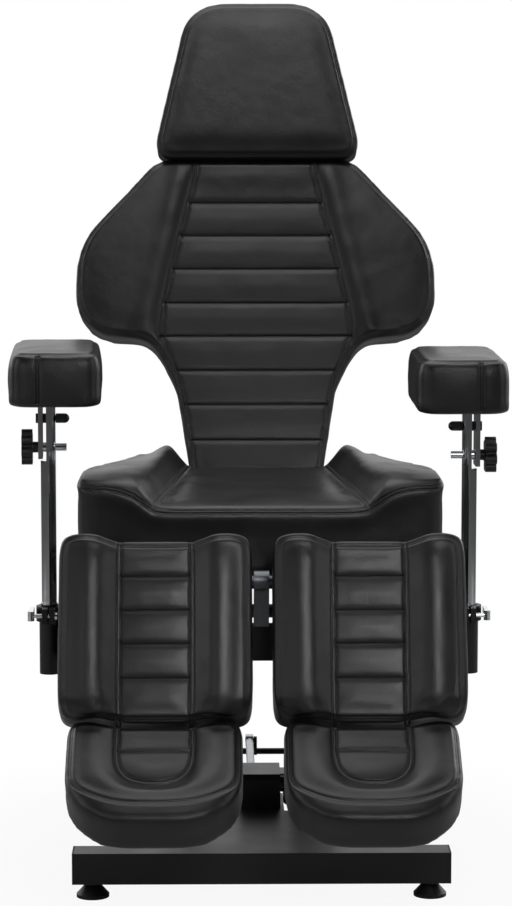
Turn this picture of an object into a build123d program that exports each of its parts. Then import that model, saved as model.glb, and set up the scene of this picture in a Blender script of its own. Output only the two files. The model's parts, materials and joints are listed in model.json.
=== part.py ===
from build123d import *
import math
import os

# Tattoo client chair on a foot-pumped scissor lift.
# Millimetres. +Z is up, the sitter faces -Y, +X is on the left of the sitter.
# The floor is z = 0, and the origin is under the middle of the chair's overall box.

# Base: front and rear cross tubes joined by two open channels and two stringers
tube_length = 600.0
front_tube_depth = 50.0
rear_tube_depth = 50.0
front_tube_height = 50.0
rear_tube_height = 30.0
tube_wall = 3.0
floor_gap = 25.0
base_front_y = -292.0
channel_front_room = 106.9
channel_height = 50.0
channel_depth = 50.0
channel_wall = 4.0
channel_outer_x = 175.0
stringer_x = 75.0
stringer_width = 30.0
stringer_height = 15.0
deck_pillar = 20.0
foot_boss_radius = 11.0
foot_boss_height = 20.0
foot_rim_height = 5.0
foot_rim_radius = 24.0
foot_cone_top = 20.0
rear_pad_radius = 20.0
rear_pad_inset = 30.0
end_cap_lip = 3.0
end_cap_plug = 15.0
foot_inset_x = 32.0
foot_disc_radius = 26.0
foot_disc_height = 7.0
foot_neck_radius = 12.5
foot_stem_radius = 6.0
deck_half_width = 105.0
deck_length = 228.0
deck_thickness = 4.0
shelf_left_x = -37.0
shelf_right_x = 42.0
shelf_length = 124.0

# Scissor lift: two pairs of arms crossed at their middles
arm_length = 560.0
arm_width = 40.0
arm_thickness = 8.0
inner_arm_x = 105.0
outer_arm_x = 117.0
pivot_inset = 40.0
lift_rest_height = 355.0
roller_radius = 20.9
roller_shoulder = 12.0
roller_width = 20.0
roller_x = 140.0
axle_radius = 8.0
pivot_radius = 10.0
centre_pin_radius = 9.0
pin_head_radius = 14.0
pin_head_height = 4.0
cross_tube_radius = 12.0
cross_tube_setback = 60.0
running_clearance = 0.08
side_clearance = 0.5
pivot_block_length = 30.0

# Hydraulic cylinder, ram, pump and pedal
ram_lever = 280.0
ram_lug_height = 80.0
ram_lug_angle = 29.36
cylinder_x = 75.0
cylinder_radius = 24.0
cylinder_bore = 20.0
cylinder_start = 22.0
cylinder_end = 223.0
cylinder_cap = 20.0
gland_length = 10.0
ram_radius = 12.0
ram_length = 209.0
piston_length = 14.0
ram_eye_radius = 24.0
ram_tube_radius = 15.0
gusset_ear_radius = 25.0
eye_width = 24.0
cylinder_eye_radius = 16.0
cylinder_neck = 20.0
lug_pin_radius = 8.0
gusset_start = 190.0
gusset_end = 335.0
gusset_side = 24.0
lug_thickness = 6.0
pump_left_x = -34.0
pump_width = 70.0
pump_front_y = 3.0
pump_length = 95.0
pump_height = 56.0
pump_slope = 8.0
pump_edge_radius = 5.0
plunger_x = -12.0
plunger_radius = 7.0
plunger_height = 112.0
barrel_radius = 12.0
barrel_length = 24.0
valve_radius = 7.0
valve_length = 16.0
valve_y = 84.0
valve_z = 104.0
hose_radius = 4.0
hose_start_y = 58.0
hose_start_z = 94.0
hose_side_x = 45.0
plunger_start = 20.0
yoke_width = 14.0
yoke_length = 18.0
yoke_height = 18.0
pedal_shaft_radius = 5.5
pedal_shaft_inset = 20.0
crank_radius = 20.0
crank_width = 14.0
crank_thickness = 6.0
crank_pin_radius = 4.0
crank_slack = 1.2
pedal_arm_length = 84.0
pedal_arm_inset = 38.0
tread_length = 54.0
tread_width = 62.0
tread_thickness = 9.0
bearing_width = 16.0
bearing_length = 26.0
pedal_gap = 7.0
crank_side_slack = 0.3
yoke_relief = 8.5
lug_head_radius = 12.0
bearing_x = 150.0
bearing_top = 11.0

# Seat frame: channels over the scissor, beams, hinge plates and armrest outriggers
seat_channel_front_room = 76.9
front_beam_low_z = 375.0
seat_channel_rear_room = 75.0
front_beam_depth = 33.0
front_beam_height = 55.0
front_beam_half_width = 180.0
mid_beam_y = 130.0
mid_beam_depth = 40.0
mid_beam_height = 40.0
bearer_length = 30.0
bearer_thickness = 7.0
bearer_half = 200.0
riser_width = 40.0
riser_length = 40.0
riser_front_y = -112.0
riser_rear_y = 160.0
hinge_plate_thickness = 8.0
hinge_ring_radius = 16.0
hinge_plate_x = 172.0
back_plate_x = 150.0
back_plate_length = 38.0
centre_bracket_width = 24.0
outrigger_y = 8.0
outrigger_drop = 42.0
outrigger_height = 46.0
outrigger_depth = 36.0
outrigger_plate = 6.0
outrigger_plate_length = 60.0
post_x = 349.0
socket_radius = 17.0
socket_wall = 2.6
socket_bottom_z = 306.0
socket_top_z = 420.0
socket_floor = 4.0
collar_height = 25.0
collar_radius = 22.0
collar_ear = 15.0
collar_slit = 3.0

# Seat cushion and its board
seat_bottom_z = 489.0
seat_board_thickness = 12.0
seat_board_inset = 16.0
seat_front_y = -202.0
seat_rear_y = 272.0
seat_rear_low_y = 236.0
seat_half_width = 297.0
seat_rear_half_width = 206.0
seat_straight_side = 140.0
seat_bolster_front_z = 650.0
seat_bolster_rear_z = 662.0
seat_panel_front_z = 606.0
seat_panel_rear_z = 614.0
seat_panel_front_half = 172.0
seat_panel_rear_half = 118.0
seat_bolster_front_half = 262.0
seat_bolster_rear_half = 182.0
seat_edge_radius = 24.0
seat_corner_radius = 42.0
seat_low_radius = 3.0
seat_draw_in = 8.0
seat_pan_height = 90.0
seat_pan_slope_angle = 32.0

# Backrest
back_face_y = 283.0
back_face_z = 616.0
back_recline_angle = 20.0
back_hinge_below = 78.0
back_hinge_behind = 105.0
back_foam = 70.0
board_thickness = 12.0
back_top = 568.0
back_bottom = 100.0
back_edge_radius = 16.0
back_board_inset = 22.0
back_upright_x = 80.0
upright_width = 20.0
upright_depth = 25.0
back_upright_top = 500.0
back_hinge_radius = 10.0
panel_recess = 4.0
groove_radius = 6.0
groove_depth = 3.0
back_channel_pitch = 62.3
back_top_channel_height = 487.0
back_channel_count = 8
back_top_half = 177.0
back_wing_half = 320.0
back_wing_high = 410.0
back_widest_half = 325.0
back_wing_low = 238.0
back_wing_slope = 8.0
back_waist_high_half = 187.0
back_waist_half = 143.0
back_waist_height = 152.0
back_bottom_half = 104.0
back_top_radius = 40.0
back_wing_radius = 140.0
back_elbow_radius = 80.0
back_waist_high_radius = 40.0
back_waist_radius = 120.0
back_bottom_radius = 20.0
# heights as shares of back_top, half widths as shares of back_widest_half
back_panel_shares = [
    (-0.176, 0.335), (0.016, 0.345), (0.215, 0.39), (0.317, 0.435), (0.435, 0.532), (0.581, 0.478),
    (0.759, 0.406), (0.937, 0.329),
]
back_low_bar_height = 40.0
back_high_bar_height = 470.0
back_bar_depth = 10.0
back_sleeve_low = 380.0

# Headrest
head_face_y = 459.0
head_face_z = 1154.0
head_recline_angle = 16.0
head_height = 289.0
head_foam = 62.0
head_edge_radius = 18.0
head_board_inset = 20.0
head_rod_x = 58.0
head_rod_radius = 6.0
head_rod_length = 230.0
head_sleeve_radius = 9.0
head_sleeve_length = 150.0
head_hinge_above = 70.0
head_hinge_behind = 98.0
head_bottom = 1.0
head_top_half = 125.0
head_low_half = 191.0
head_top_radius = 75.0
head_low_radius = 26.0
head_plate_half = 90.0
head_plate_low = 40.0
head_plate_high = 180.0
head_plate_thickness = 4.0
head_ear_x = 70.0
head_ear_half = 25.0
head_ear_radius = 11.0
head_axle_radius = 5.0
head_neck_drop = 26.0

# Leg rests
leg_x = 165.0
leg_face_y = -342.0
leg_face_z = 586.0
leg_lean_angle = 20.0
leg_hinge_below = 48.0
leg_hinge_behind = 100.0
leg_hinge_radius = 8.0
leg_shaft_half = 262.0
calf_length = 292.0
calf_half_width = 151.0
calf_foam = 78.0
calf_tray_thickness = 4.0
calf_edge_radius = 14.0
calf_recess = 13.0
calf_panel_half = 54.0
calf_channel_pitch = 53.0
calf_first_channel = 57.0
leg_tube_x = 70.0
leg_tube_side = 20.0
leg_tube_wall = 2.5
calf_board_inset = 18.0
slide_rod_radius = 7.0
slide_rod_length = 190.0
calf_corner = 26.0
calf_low_corner = 24.0
calf_low_rise = 26.0
calf_low_half = 48.0
calf_low_radius = 120.0
calf_crest_half = 92.0
calf_channel_count = 4
leg_tube_high = -30.0
leg_high_bar_drop = 92.0
leg_low_bar_drop = 230.0
leg_bar_depth = 12.0
leg_bore_high = -62.0
leg_sleeve_radius = 13.0

# Foot rests
foot_lean_angle = 58.0
foot_length = 200.0
foot_half_width = 141.0
foot_foam = 68.0
foot_panel_half = 58.0
foot_hinge_behind = 92.0
foot_hinge_below = 26.0
foot_gap = 6.0
foot_board_inset = 18.0
foot_top = 12.0
foot_horn_rise = 2.0
foot_horn_half = 104.0
foot_dip_half = 62.0
foot_dip_radius = 24.0
foot_draw_in = 6.0
foot_high_radius = 18.0
foot_low_radius = 100.0
foot_panel_shift = -30.0
foot_panel_radius = 31.0
foot_tray_thickness = 4.0
foot_ear_x = 50.0
foot_ear_half = 24.0
foot_ear_radius = 10.0
foot_axle_radius = 5.0
foot_axle_overhang = 8.0

# Gas springs
leg_spring_lever = 150.0
leg_spring_x = 200.0
leg_spring_dip_angle = 17.9
leg_spring_radius = 11.0
leg_spring_tube_length = 150.0
leg_spring_rod_radius = 5.0
leg_spring_rod_length = 171.0
leg_spring_lug_radius = 10.0
back_spring_lever = 170.0
back_spring_dip_angle = 20.0
back_spring_sweep_angle = 150.0
back_spring_radius = 13.0
back_spring_tube_length = 172.0
back_spring_rod_radius = 6.0
back_spring_rod_length = 186.0
spring_eye_radius = 10.0
spring_pin_radius = 4.0
spring_eye_width = 14.0
spring_cap = 10.0
spring_wall = 2.5
spring_start = 14.0
spring_lug_radius = 11.0

# Armrests
post_radius = 12.5
post_bottom_gap = 18.0
post_flange = 4.0
post_flange_radius = 14.0
post_ring = 3.0
post_top_z = 757.0
post_notch_z = 664.0
post_tongue = 3.0
bush_wall = 1.7
bush_length = 90.0
pad_pivot_z = 734.0
pad_lock_z = 686.0
pad_bottom_z = 769.0
pad_width = 150.0
pad_length = 292.0
pad_height = 88.0
pad_centre_x = 327.0
pad_centre_y = -6.0
pad_edge_radius = 20.0
pad_corner_radius = 26.0
strap_gap = 8.5
strap_thickness = 7.5
strap_width = 46.0
strap_flange_length = 130.0
strap_flange_width = 74.0
strap_flange_thickness = 4.0
slot_sweep_angle = 15.0
slot_slack = 0.6
lock_bolt_radius = 5.0
lock_bolt_reach = 30.0
dome_radius = 8.0
knob_radius = 30.0
knob_thickness = 18.0
knob_hub_radius = 9.0
knob_hub_length = 9.0
knob_lobe_count = 7
knob_lobe_radius = 8.5
left_arm_yaw_angle = 2.2
right_arm_drop = 14.0
lever_length = 44.0
lever_thickness = 7.0
lever_height = 12.0
lever_pin_radius = 2.0
lever_wall = 2.0
lever_stand_off = 29.0
clamp_bolt_radius = 3.5
overrun = 5.0


# Shapes that repeat

right_angle = 90.0


def block(low, high):
    """Box from its lowest to its highest corner."""
    size = [b - a for a, b in zip(low, high)]
    middle = [(a + b) / 2 for a, b in zip(low, high)]
    return Pos(*middle) * Box(*size)


def rod(start, end, radius):
    """Round bar between two points."""
    path = Vector(*end) - Vector(*start)
    plane = Plane(origin=start, z_dir=path)
    return extrude(plane * Circle(radius), amount=path.length)


def across(place, x_low, x_high, radius):
    """Round bar across the chair at a (y, z) place."""
    return rod((x_low, place[0], place[1]), (x_high, place[0], place[1]), radius)


def plate(outline, x_low, x_high):
    """Flat plate that stands in the side plane, between two x values."""
    return extrude(Plane.YZ.offset(x_low) * outline, amount=x_high - x_low)


def polygon(points):
    return make_face(Polyline(*points, close=True))


def rounded(points, radii):
    """Closed outline whose corners have their own radii."""
    return make_face(FilletPolyline(*points, radius=radii, close=True))


def mirrored(half_points, half_radii):
    """Closed outline from its right half, listed from top to bottom."""
    left = [(-x, y) for x, y in reversed(half_points)]
    return rounded(half_points + left, half_radii + half_radii[::-1])


def both_sides(shape):
    """The shape and its mirror image across the middle of the chair."""
    return [shape, mirror(shape, about=Plane.YZ)]


def group(*shapes):
    """Separate solids held in one node."""
    solids = []
    for shape in shapes:
        found = shape if isinstance(shape, (list, tuple)) else [shape]
        for item in found:
            solids.extend(item.solids())
    return Compound(children=solids)


def hollow_bar(low, high, wall, axis):
    """Rectangular tube, open at both ends along the axis."""
    inner_low = [a + wall for a in low]
    inner_high = [b - wall for b in high]
    inner_low[axis] = low[axis] - overrun
    inner_high[axis] = high[axis] + overrun
    return block(low, high) - block(inner_low, inner_high)


def point_at(origin, distance, angle):
    """(y, z) at a distance from an origin, the angle measured from +Y towards +Z."""
    turn = math.radians(angle)
    return origin[0] + distance * math.cos(turn), origin[1] + distance * math.sin(turn)


def face_plane(x, y, z, lean):
    """Frame of a cushion: X across, Y up its face, Z out of its face."""
    turn = math.radians(lean)
    return Plane(origin=(x, y, z), x_dir=(1, 0, 0), z_dir=(0, -math.cos(turn), math.sin(turn)))


def upholstered(outline, thickness, edge_radius):
    """Cushion whose face edge is rounded, its face at z = 0."""
    body = extrude(outline, amount=-thickness)
    face = body.faces().sort_by(Axis.Z)[-1]
    return fillet(face.edges(), edge_radius)


def groove(half, along, depth):
    """Cutter for a sewn channel across a cushion."""
    lift = groove_radius - depth
    return rod((-half, along, lift), (half, along, lift), groove_radius)


# Places that several pieces share

rail_front_y = base_front_y + front_tube_depth
lift_span = math.sqrt(arm_length**2 - lift_rest_height**2)
rail_rear_y = rail_front_y + channel_front_room + lift_span + pivot_inset
rail_low_z = floor_gap
rail_top_z = floor_gap + channel_height
rail_mid_z = rail_low_z + channel_height / 2
channel_inner_x = channel_outer_x - channel_depth
lower_pivot = (rail_rear_y - pivot_inset, rail_mid_z)
upper_pivot = (lower_pivot[0], rail_mid_z + lift_rest_height)
lift_angle = math.degrees(math.asin(lift_rest_height / arm_length))
inner_tip = point_at(lower_pivot, arm_length, 180 - lift_angle)
outer_tip = point_at(upper_pivot, arm_length, 180 + lift_angle)
centre_pivot = point_at(lower_pivot, arm_length / 2, 180 - lift_angle)
seat_channel_front_y = inner_tip[0] - seat_channel_front_room
seat_rail_low_z = upper_pivot[1] - channel_height / 2
seat_rail_top_z = seat_rail_low_z + channel_height
seat_rail_rear_y = upper_pivot[0] + seat_channel_rear_room
ram_lug_rise = ram_lug_height - lower_pivot[1]
ram_lug = (lower_pivot[0] - math.sqrt(ram_lever**2 - ram_lug_rise**2), ram_lug_height)
ram_pin = point_at(lower_pivot, ram_lever, 180 - lift_angle - ram_lug_angle)
pump_rear_y = pump_front_y + pump_length
pump_top_z = rail_top_z + pump_height
pedal_shaft_length = tube_length - pedal_shaft_inset * 2
pedal_arm_x = tube_length / 2 - pedal_arm_inset
pedal_axis = (rail_rear_y + bearing_length / 2 + pedal_gap, plunger_height - crank_radius)
back_plane = face_plane(0, back_face_y, back_face_z, back_recline_angle)
head_plane = face_plane(0, head_face_y, head_face_z, head_recline_angle)
leg_plane = face_plane(0, leg_face_y, leg_face_z, leg_lean_angle)


def on_plane(plane, along, behind):
    """(y, z) of a place on a cushion frame."""
    place = plane.from_local_coords(Vector(0, along, -behind))
    return place.Y, place.Z


back_hinge = on_plane(back_plane, -back_hinge_below, back_hinge_behind)
head_hinge = on_plane(head_plane, head_hinge_above, head_hinge_behind)
leg_hinge = on_plane(leg_plane, -leg_hinge_below, leg_hinge_behind)
foot_origin = on_plane(leg_plane, -calf_length - foot_gap, 0)
foot_plane = face_plane(0, foot_origin[0], foot_origin[1], foot_lean_angle)
foot_hinge = on_plane(foot_plane, -foot_hinge_below, foot_hinge_behind)
leg_down = 270 - leg_lean_angle
leg_spring_seat_pin = point_at(leg_hinge, leg_spring_lever, -leg_spring_dip_angle)
leg_spring_leg_pin = point_at(leg_hinge, leg_spring_lever, leg_down)
back_spring_seat_pin = point_at(back_hinge, back_spring_lever, 180 + back_spring_dip_angle)
back_spring_back_pin = point_at(
    back_hinge, back_spring_lever, 180 + back_spring_dip_angle + back_spring_sweep_angle
)
arm_y = outrigger_y
socket_bore = socket_radius - socket_wall
post_bottom_z = socket_bottom_z + socket_floor + post_bottom_gap
bush_bottom_z = post_bottom_z + post_flange + side_clearance
bush_top_z = bush_bottom_z + bush_length
strap_x = post_x + strap_gap
strap_outer_x = strap_x + strap_thickness
collar_low_z = socket_top_z - collar_height
collar_mid_z = socket_top_z - collar_height / 2
clamp_bolt_y = arm_y - collar_radius - collar_ear / 2
clamp_bore = clamp_bolt_radius + running_clearance
lever_x = post_x + lever_stand_off
lever_bore = lever_pin_radius + running_clearance
eye_low_z = collar_mid_z - lever_height / 2 + lever_wall - side_clearance
eye_high_z = collar_mid_z + lever_height / 2 - lever_wall + side_clearance
slot_radius = lock_bolt_radius + slot_slack
spring_bore = spring_pin_radius + running_clearance
lug_pin_bore = lug_pin_radius + running_clearance
lug_span = eye_width / 2 + side_clearance + lug_thickness
pedal_bore = pedal_shaft_radius + running_clearance
foot_bore = foot_stem_radius + running_clearance
foot_x = tube_length / 2 - foot_inset_x
foot_y = base_front_y + front_tube_depth / 2
deck_rear_y = rail_front_y + deck_length
rear_tube_top_z = floor_gap + rear_tube_height
pin_end_x = channel_outer_x - channel_wall - overrun
bearer_low_z = seat_bottom_z - bearer_thickness
mid_beam_rear_y = mid_beam_y + mid_beam_depth / 2
front_beam_top_z = front_beam_low_z + front_beam_height
draw_in_left = seat_draw_in - seat_half_width


# Base

def stringer(x):
    low = (x - stringer_width / 2, rail_front_y, rail_low_z)
    high = (x + stringer_width / 2, rail_rear_y, rail_low_z + stringer_height)
    return block(low, high)


def open_channel(front_y, rear_y, low_z):
    """Steel channel on the +X side, open towards the middle."""
    outer = block(
        (channel_inner_x, front_y, low_z), (channel_outer_x, rear_y, low_z + channel_height)
    )
    cut = block(
        (channel_inner_x - overrun, front_y - overrun, low_z + channel_wall),
        (channel_outer_x - channel_wall, rear_y + overrun, low_z + channel_height - channel_wall),
    )
    return outer - cut


def pivot_block(place):
    """Block that fills a channel and holds a fixed pivot pin."""
    half = channel_height / 2 - channel_wall
    low = (channel_inner_x, place[0] - pivot_block_length / 2, place[1] - half)
    high = (channel_outer_x - channel_wall, place[0] + pivot_block_length / 2, place[1] + half)
    hole = across(place, channel_inner_x - overrun, pin_end_x, pivot_radius + running_clearance)
    return block(low, high) - hole


def lug_pair(place, x, inner_width, thickness, radius, foot_low, foot_high):
    """Two cheeks with a common hole, that stand on a foot between two z values."""
    cheeks = []
    for side in (-1, 1):
        near = inner_width / 2 + side_clearance
        span = sorted((x + side * near, x + side * (near + thickness)))
        ear = across(place, span[0], span[1], radius)
        leg = block(
            (span[0], place[0] - radius, foot_low), (span[1], place[0] + radius, foot_high)
        )
        cheeks.append(ear + leg)
    return cheeks[0] + cheeks[1]


def deck():
    """Cover plate between the rails, with a shelf for the pump."""
    low_z = rail_top_z - deck_thickness
    main = block((-deck_half_width, rail_front_y, low_z), (deck_half_width, deck_rear_y, rail_top_z))
    shelf = block(
        (shelf_left_x, deck_rear_y - overrun, low_z),
        (shelf_right_x, deck_rear_y + shelf_length, rail_top_z),
    )
    strip_y = deck_rear_y + shelf_length - stringer_width
    strip = block(
        (-stringer_x, strip_y, rail_low_z),
        (stringer_x, strip_y + stringer_width, rail_low_z + stringer_height),
    )
    stand = block((-deck_pillar / 2, strip_y, rail_low_z), (deck_pillar / 2, strip_y + deck_pillar, low_z))
    result = main + shelf + strip + stand
    for side in (-1, 1):
        x = side * stringer_x
        rear = deck_rear_y - deck_pillar / 2
        result += block(
            (x - deck_pillar / 2, rear - deck_pillar, rail_low_z),
            (x + deck_pillar / 2, rear, low_z + deck_thickness / 2),
        )
    return result


def pedal_bearing():
    top = pedal_axis[1] + bearing_top
    low = (bearing_x - bearing_width / 2, pedal_axis[0] - bearing_length / 2, rear_tube_top_z)
    high = (bearing_x + bearing_width / 2, pedal_axis[0] + bearing_length / 2, top)
    return block(low, high) - across(pedal_axis, low[0] - overrun, high[0] + overrun, pedal_bore)


def foot_boss(x):
    """Threaded boss inside the front tube, for a levelling foot."""
    low = (x, foot_y, floor_gap)
    return rod(low, (x, foot_y, floor_gap + foot_boss_height), foot_boss_radius)


def base_frame():
    half = tube_length / 2 - end_cap_lip
    front = hollow_bar(
        (-half, base_front_y, floor_gap),
        (half, rail_front_y, floor_gap + front_tube_height),
        tube_wall,
        0,
    )
    rear = hollow_bar(
        (-half, rail_rear_y, floor_gap),
        (half, rail_rear_y + rear_tube_depth, rear_tube_top_z),
        tube_wall,
        0,
    )
    rail = open_channel(rail_front_y, rail_rear_y, rail_low_z) + pivot_block(lower_pivot)
    frame = front + rear + both_sides(rail)
    frame += [stringer(-stringer_x), stringer(stringer_x), deck()]
    frame += both_sides(pedal_bearing())
    frame += [foot_boss(-foot_x), foot_boss(foot_x)]
    frame += lug_pair(
        ram_lug, cylinder_x, eye_width, lug_thickness, cylinder_eye_radius, rail_low_z, ram_lug[1]
    )
    frame -= across(ram_lug, stringer_x - eye_width, stringer_x + eye_width, lug_pin_bore)
    for x in (-foot_x, foot_x):
        bottom = (x, foot_y, floor_gap - overrun)
        frame -= rod(bottom, (x, foot_y, floor_gap + foot_boss_height + overrun), foot_bore)
    return frame


def levelling_foot(x):
    """Disc foot on a threaded stem, screwed fully in."""
    profile = polygon([
        (0, 0),
        (foot_disc_radius, 0),
        (foot_disc_radius, foot_rim_height),
        (foot_rim_radius, foot_disc_height),
        (foot_neck_radius, foot_cone_top),
        (foot_neck_radius, floor_gap),
        (foot_stem_radius, floor_gap),
        (foot_stem_radius, floor_gap + foot_boss_height),
        (0, floor_gap + foot_boss_height),
    ])
    return Pos(x, foot_y, 0) * revolve(Plane.XZ * profile, Axis.Z)


def end_cap(side, low_y, high_y, high_z):
    """Plug for the end of a cross tube."""
    end = tube_length / 2
    face = sorted((side * (end - end_cap_lip), side * end))
    plug = sorted((side * (end - end_cap_lip - end_cap_plug), side * (end - end_cap_lip)))
    rim = block((face[0], low_y, floor_gap), (face[1], high_y, high_z))
    gap = tube_wall + side_clearance / 2
    body = block((plug[0], low_y + gap, floor_gap + gap), (plug[1], high_y - gap, high_z - gap))
    return rim + body


def base_caps():
    """Four tube plugs and two rubber pads under the rear tube."""
    pieces = []
    for side in (-1, 1):
        pieces.append(end_cap(side, base_front_y, rail_front_y, floor_gap + front_tube_height))
        rear_y = rail_rear_y + rear_tube_depth
        pieces.append(end_cap(side, rail_rear_y, rear_y, rear_tube_top_z))
        x = side * (tube_length / 2 - rear_pad_inset)
        y = rail_rear_y + rear_tube_depth / 2
        pieces.append(rod((x, y, 0), (x, y, floor_gap), rear_pad_radius))
    return group(*pieces)


def lower_pins():
    """Two fixed pivot pins of the lift and the pin of the cylinder."""
    inner = inner_arm_x - arm_thickness / 2
    outer = inner_arm_x + arm_thickness / 2
    pin = across(lower_pivot, inner - side_clearance - pin_head_height, pin_end_x, pivot_radius)
    pin += across(
        lower_pivot, inner - side_clearance - pin_head_height, inner - side_clearance, pin_head_radius
    )
    pin += across(lower_pivot, outer + side_clearance, channel_inner_x, pin_head_radius)
    low = cylinder_x - lug_span
    high = cylinder_x + lug_span
    lug_pin = across(ram_lug, low, high, lug_pin_radius)
    lug_pin += across(ram_lug, high, high + pin_head_height, lug_head_radius)
    return group(both_sides(pin), lug_pin)


def pump_unit():
    """Pump block with its tank, plunger barrel and release valve."""
    right_x = pump_left_x + pump_width
    side = polygon([
        (pump_front_y, rail_top_z),
        (pump_rear_y, rail_top_z),
        (pump_rear_y, pump_top_z),
        (pump_front_y + pump_slope, pump_top_z),
        (pump_front_y, pump_top_z - pump_slope),
    ])
    body = plate(side, pump_left_x, right_x)
    body += rod(
        (plunger_x, pump_rear_y, plunger_height),
        (plunger_x, pump_rear_y + barrel_length, plunger_height),
        barrel_radius,
    )
    body += rod(
        (right_x, valve_y, valve_z), (right_x + valve_length, valve_y, valve_z), valve_radius
    )
    bore = rod(
        (plunger_x, pump_front_y + plunger_start - overrun, plunger_height),
        (plunger_x, pump_rear_y + barrel_length + overrun, plunger_height),
        plunger_radius + running_clearance,
    )
    return body - bore


def pump_plunger():
    """Pump plunger with the slotted yoke that the crank pin moves."""
    yoke_front = pedal_axis[0] - yoke_length / 2
    shaft = rod(
        (plunger_x, pump_front_y + plunger_start, plunger_height),
        (plunger_x, yoke_front + overrun, plunger_height),
        plunger_radius - running_clearance,
    )
    yoke = block(
        (plunger_x - yoke_width / 2, yoke_front, plunger_height - yoke_height / 2),
        (plunger_x + yoke_width / 2, yoke_front + yoke_length, plunger_height + yoke_height / 2),
    )
    slot_y = crank_pin_radius + crank_side_slack
    slot_z = crank_pin_radius + crank_slack
    slot = block(
        (plunger_x - yoke_width, pedal_axis[0] - slot_y, plunger_height - slot_z),
        (plunger_x + yoke_width, pedal_axis[0] + slot_y, plunger_height + slot_z),
    )
    trim = across(pedal_axis, plunger_x - yoke_width, plunger_x + yoke_width, yoke_relief)
    return shaft + yoke - slot - trim


def oil_hose():
    """Short hose from the pump to the hollow pin of the cylinder."""
    start = (pump_left_x + pump_width, hose_start_y, hose_start_z)
    bend = (hose_side_x, hose_start_y, hose_start_z)
    drop = (hose_side_x, ram_lug[0], ram_lug[1])
    end = (cylinder_x - lug_span, ram_lug[0], ram_lug[1])
    path = FilletPolyline(start, bend, drop, end, radius=hose_radius * 3 / 2)
    return sweep(Plane(origin=start, z_dir=(1, 0, 0)) * Circle(hose_radius), path=path)


def pedal_arm():
    """Side arm of the pedal bar with its flat tread."""
    rear = pedal_axis[0] + pedal_arm_length
    half = tread_thickness / 2
    arm = block(
        (pedal_arm_x - crank_width / 2, pedal_axis[0], pedal_axis[1] - half),
        (pedal_arm_x + crank_width / 2, rear, pedal_axis[1] + half),
    )
    tread = block(
        (pedal_arm_x - tread_width / 2, rear - tread_length / 2, pedal_axis[1] - half),
        (pedal_arm_x + tread_width / 2, rear + tread_length / 2, pedal_axis[1] + half),
    )
    hub = across(
        pedal_axis, pedal_arm_x - crank_width / 2, pedal_arm_x + crank_width / 2, crank_width * 2 / 3
    )
    return arm + tread + hub


def pedal_bar():
    """Cross shaft with a pedal at each end and the crank of the pump."""
    bar = across(pedal_axis, -pedal_shaft_length / 2, pedal_shaft_length / 2, pedal_shaft_radius)
    bar += both_sides(pedal_arm())
    near = plunger_x + yoke_width / 2 + side_clearance
    far = near + crank_thickness
    crank_pin = (pedal_axis[0], plunger_height)
    cheek = across(pedal_axis, near, far, crank_width / 2) + across(crank_pin, near, far, crank_width / 2)
    cheek += block(
        (near, pedal_axis[0] - crank_width / 2, pedal_axis[1]),
        (far, pedal_axis[0] + crank_width / 2, plunger_height),
    )
    pin = across(crank_pin, plunger_x - yoke_width / 2 - side_clearance, far, crank_pin_radius)
    return bar + cheek + pin


# Scissor lift

def arm_plate(start, end, x):
    """Flat arm between two pivots, on the +X side."""
    angle = math.degrees(math.atan2(end[1] - start[1], end[0] - start[0]))
    middle = ((start[0] + end[0]) / 2, (start[1] + end[1]) / 2)
    outline = Pos(*middle) * Rot(0, 0, angle) * SlotCenterToCenter(arm_length, arm_width)
    return plate(outline, x - arm_thickness / 2, x + arm_thickness / 2)


def through(place, radius):
    """Cutter for a hole right across the lift."""
    return across(place, -channel_outer_x, channel_outer_x, radius + running_clearance)


def inner_arms():
    """Arms from the lower pivots to the upper rollers, with the tube that the ram pushes."""
    low_x = inner_arm_x - arm_thickness / 2
    high_x = inner_arm_x + arm_thickness / 2
    up = 180 - lift_angle
    start = point_at(lower_pivot, gusset_start, up)
    end = point_at(lower_pivot, gusset_end, up)
    normal = up - right_angle
    toward = math.degrees(math.atan2(ram_pin[1] - start[1], ram_pin[0] - start[0]))
    back = math.degrees(math.atan2(ram_pin[1] - end[1], ram_pin[0] - end[0]))
    ear_low = point_at(ram_pin, gusset_side, toward - right_angle)
    ear_high = point_at(ram_pin, gusset_side, back + right_angle)
    gusset = plate(polygon([start, ear_low, ear_high, end]), low_x, high_x)
    side = arm_plate(lower_pivot, inner_tip, inner_arm_x) + gusset
    side += across(ram_pin, low_x, high_x, gusset_ear_radius)
    cross_place = point_at(lower_pivot, arm_length - cross_tube_setback, up)
    arms = Part() + both_sides(side)
    arms += across(cross_place, -low_x, low_x, cross_tube_radius)
    arms += across(ram_pin, -low_x, low_x, ram_tube_radius)
    arms -= through(lower_pivot, pivot_radius)
    arms -= through(centre_pivot, centre_pin_radius)
    return arms - through(inner_tip, axle_radius)


def outer_arms():
    """Arms from the upper pivots to the lower rollers."""
    side = arm_plate(upper_pivot, outer_tip, outer_arm_x)
    low_x = outer_arm_x - arm_thickness / 2
    cross_place = point_at(upper_pivot, cross_tube_setback, 180 + lift_angle)
    arms = Part() + both_sides(side)
    arms += across(cross_place, -low_x, low_x, cross_tube_radius)
    arms -= through(upper_pivot, pivot_radius)
    arms -= through(centre_pivot, centre_pin_radius)
    return arms - through(outer_tip, axle_radius)


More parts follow.
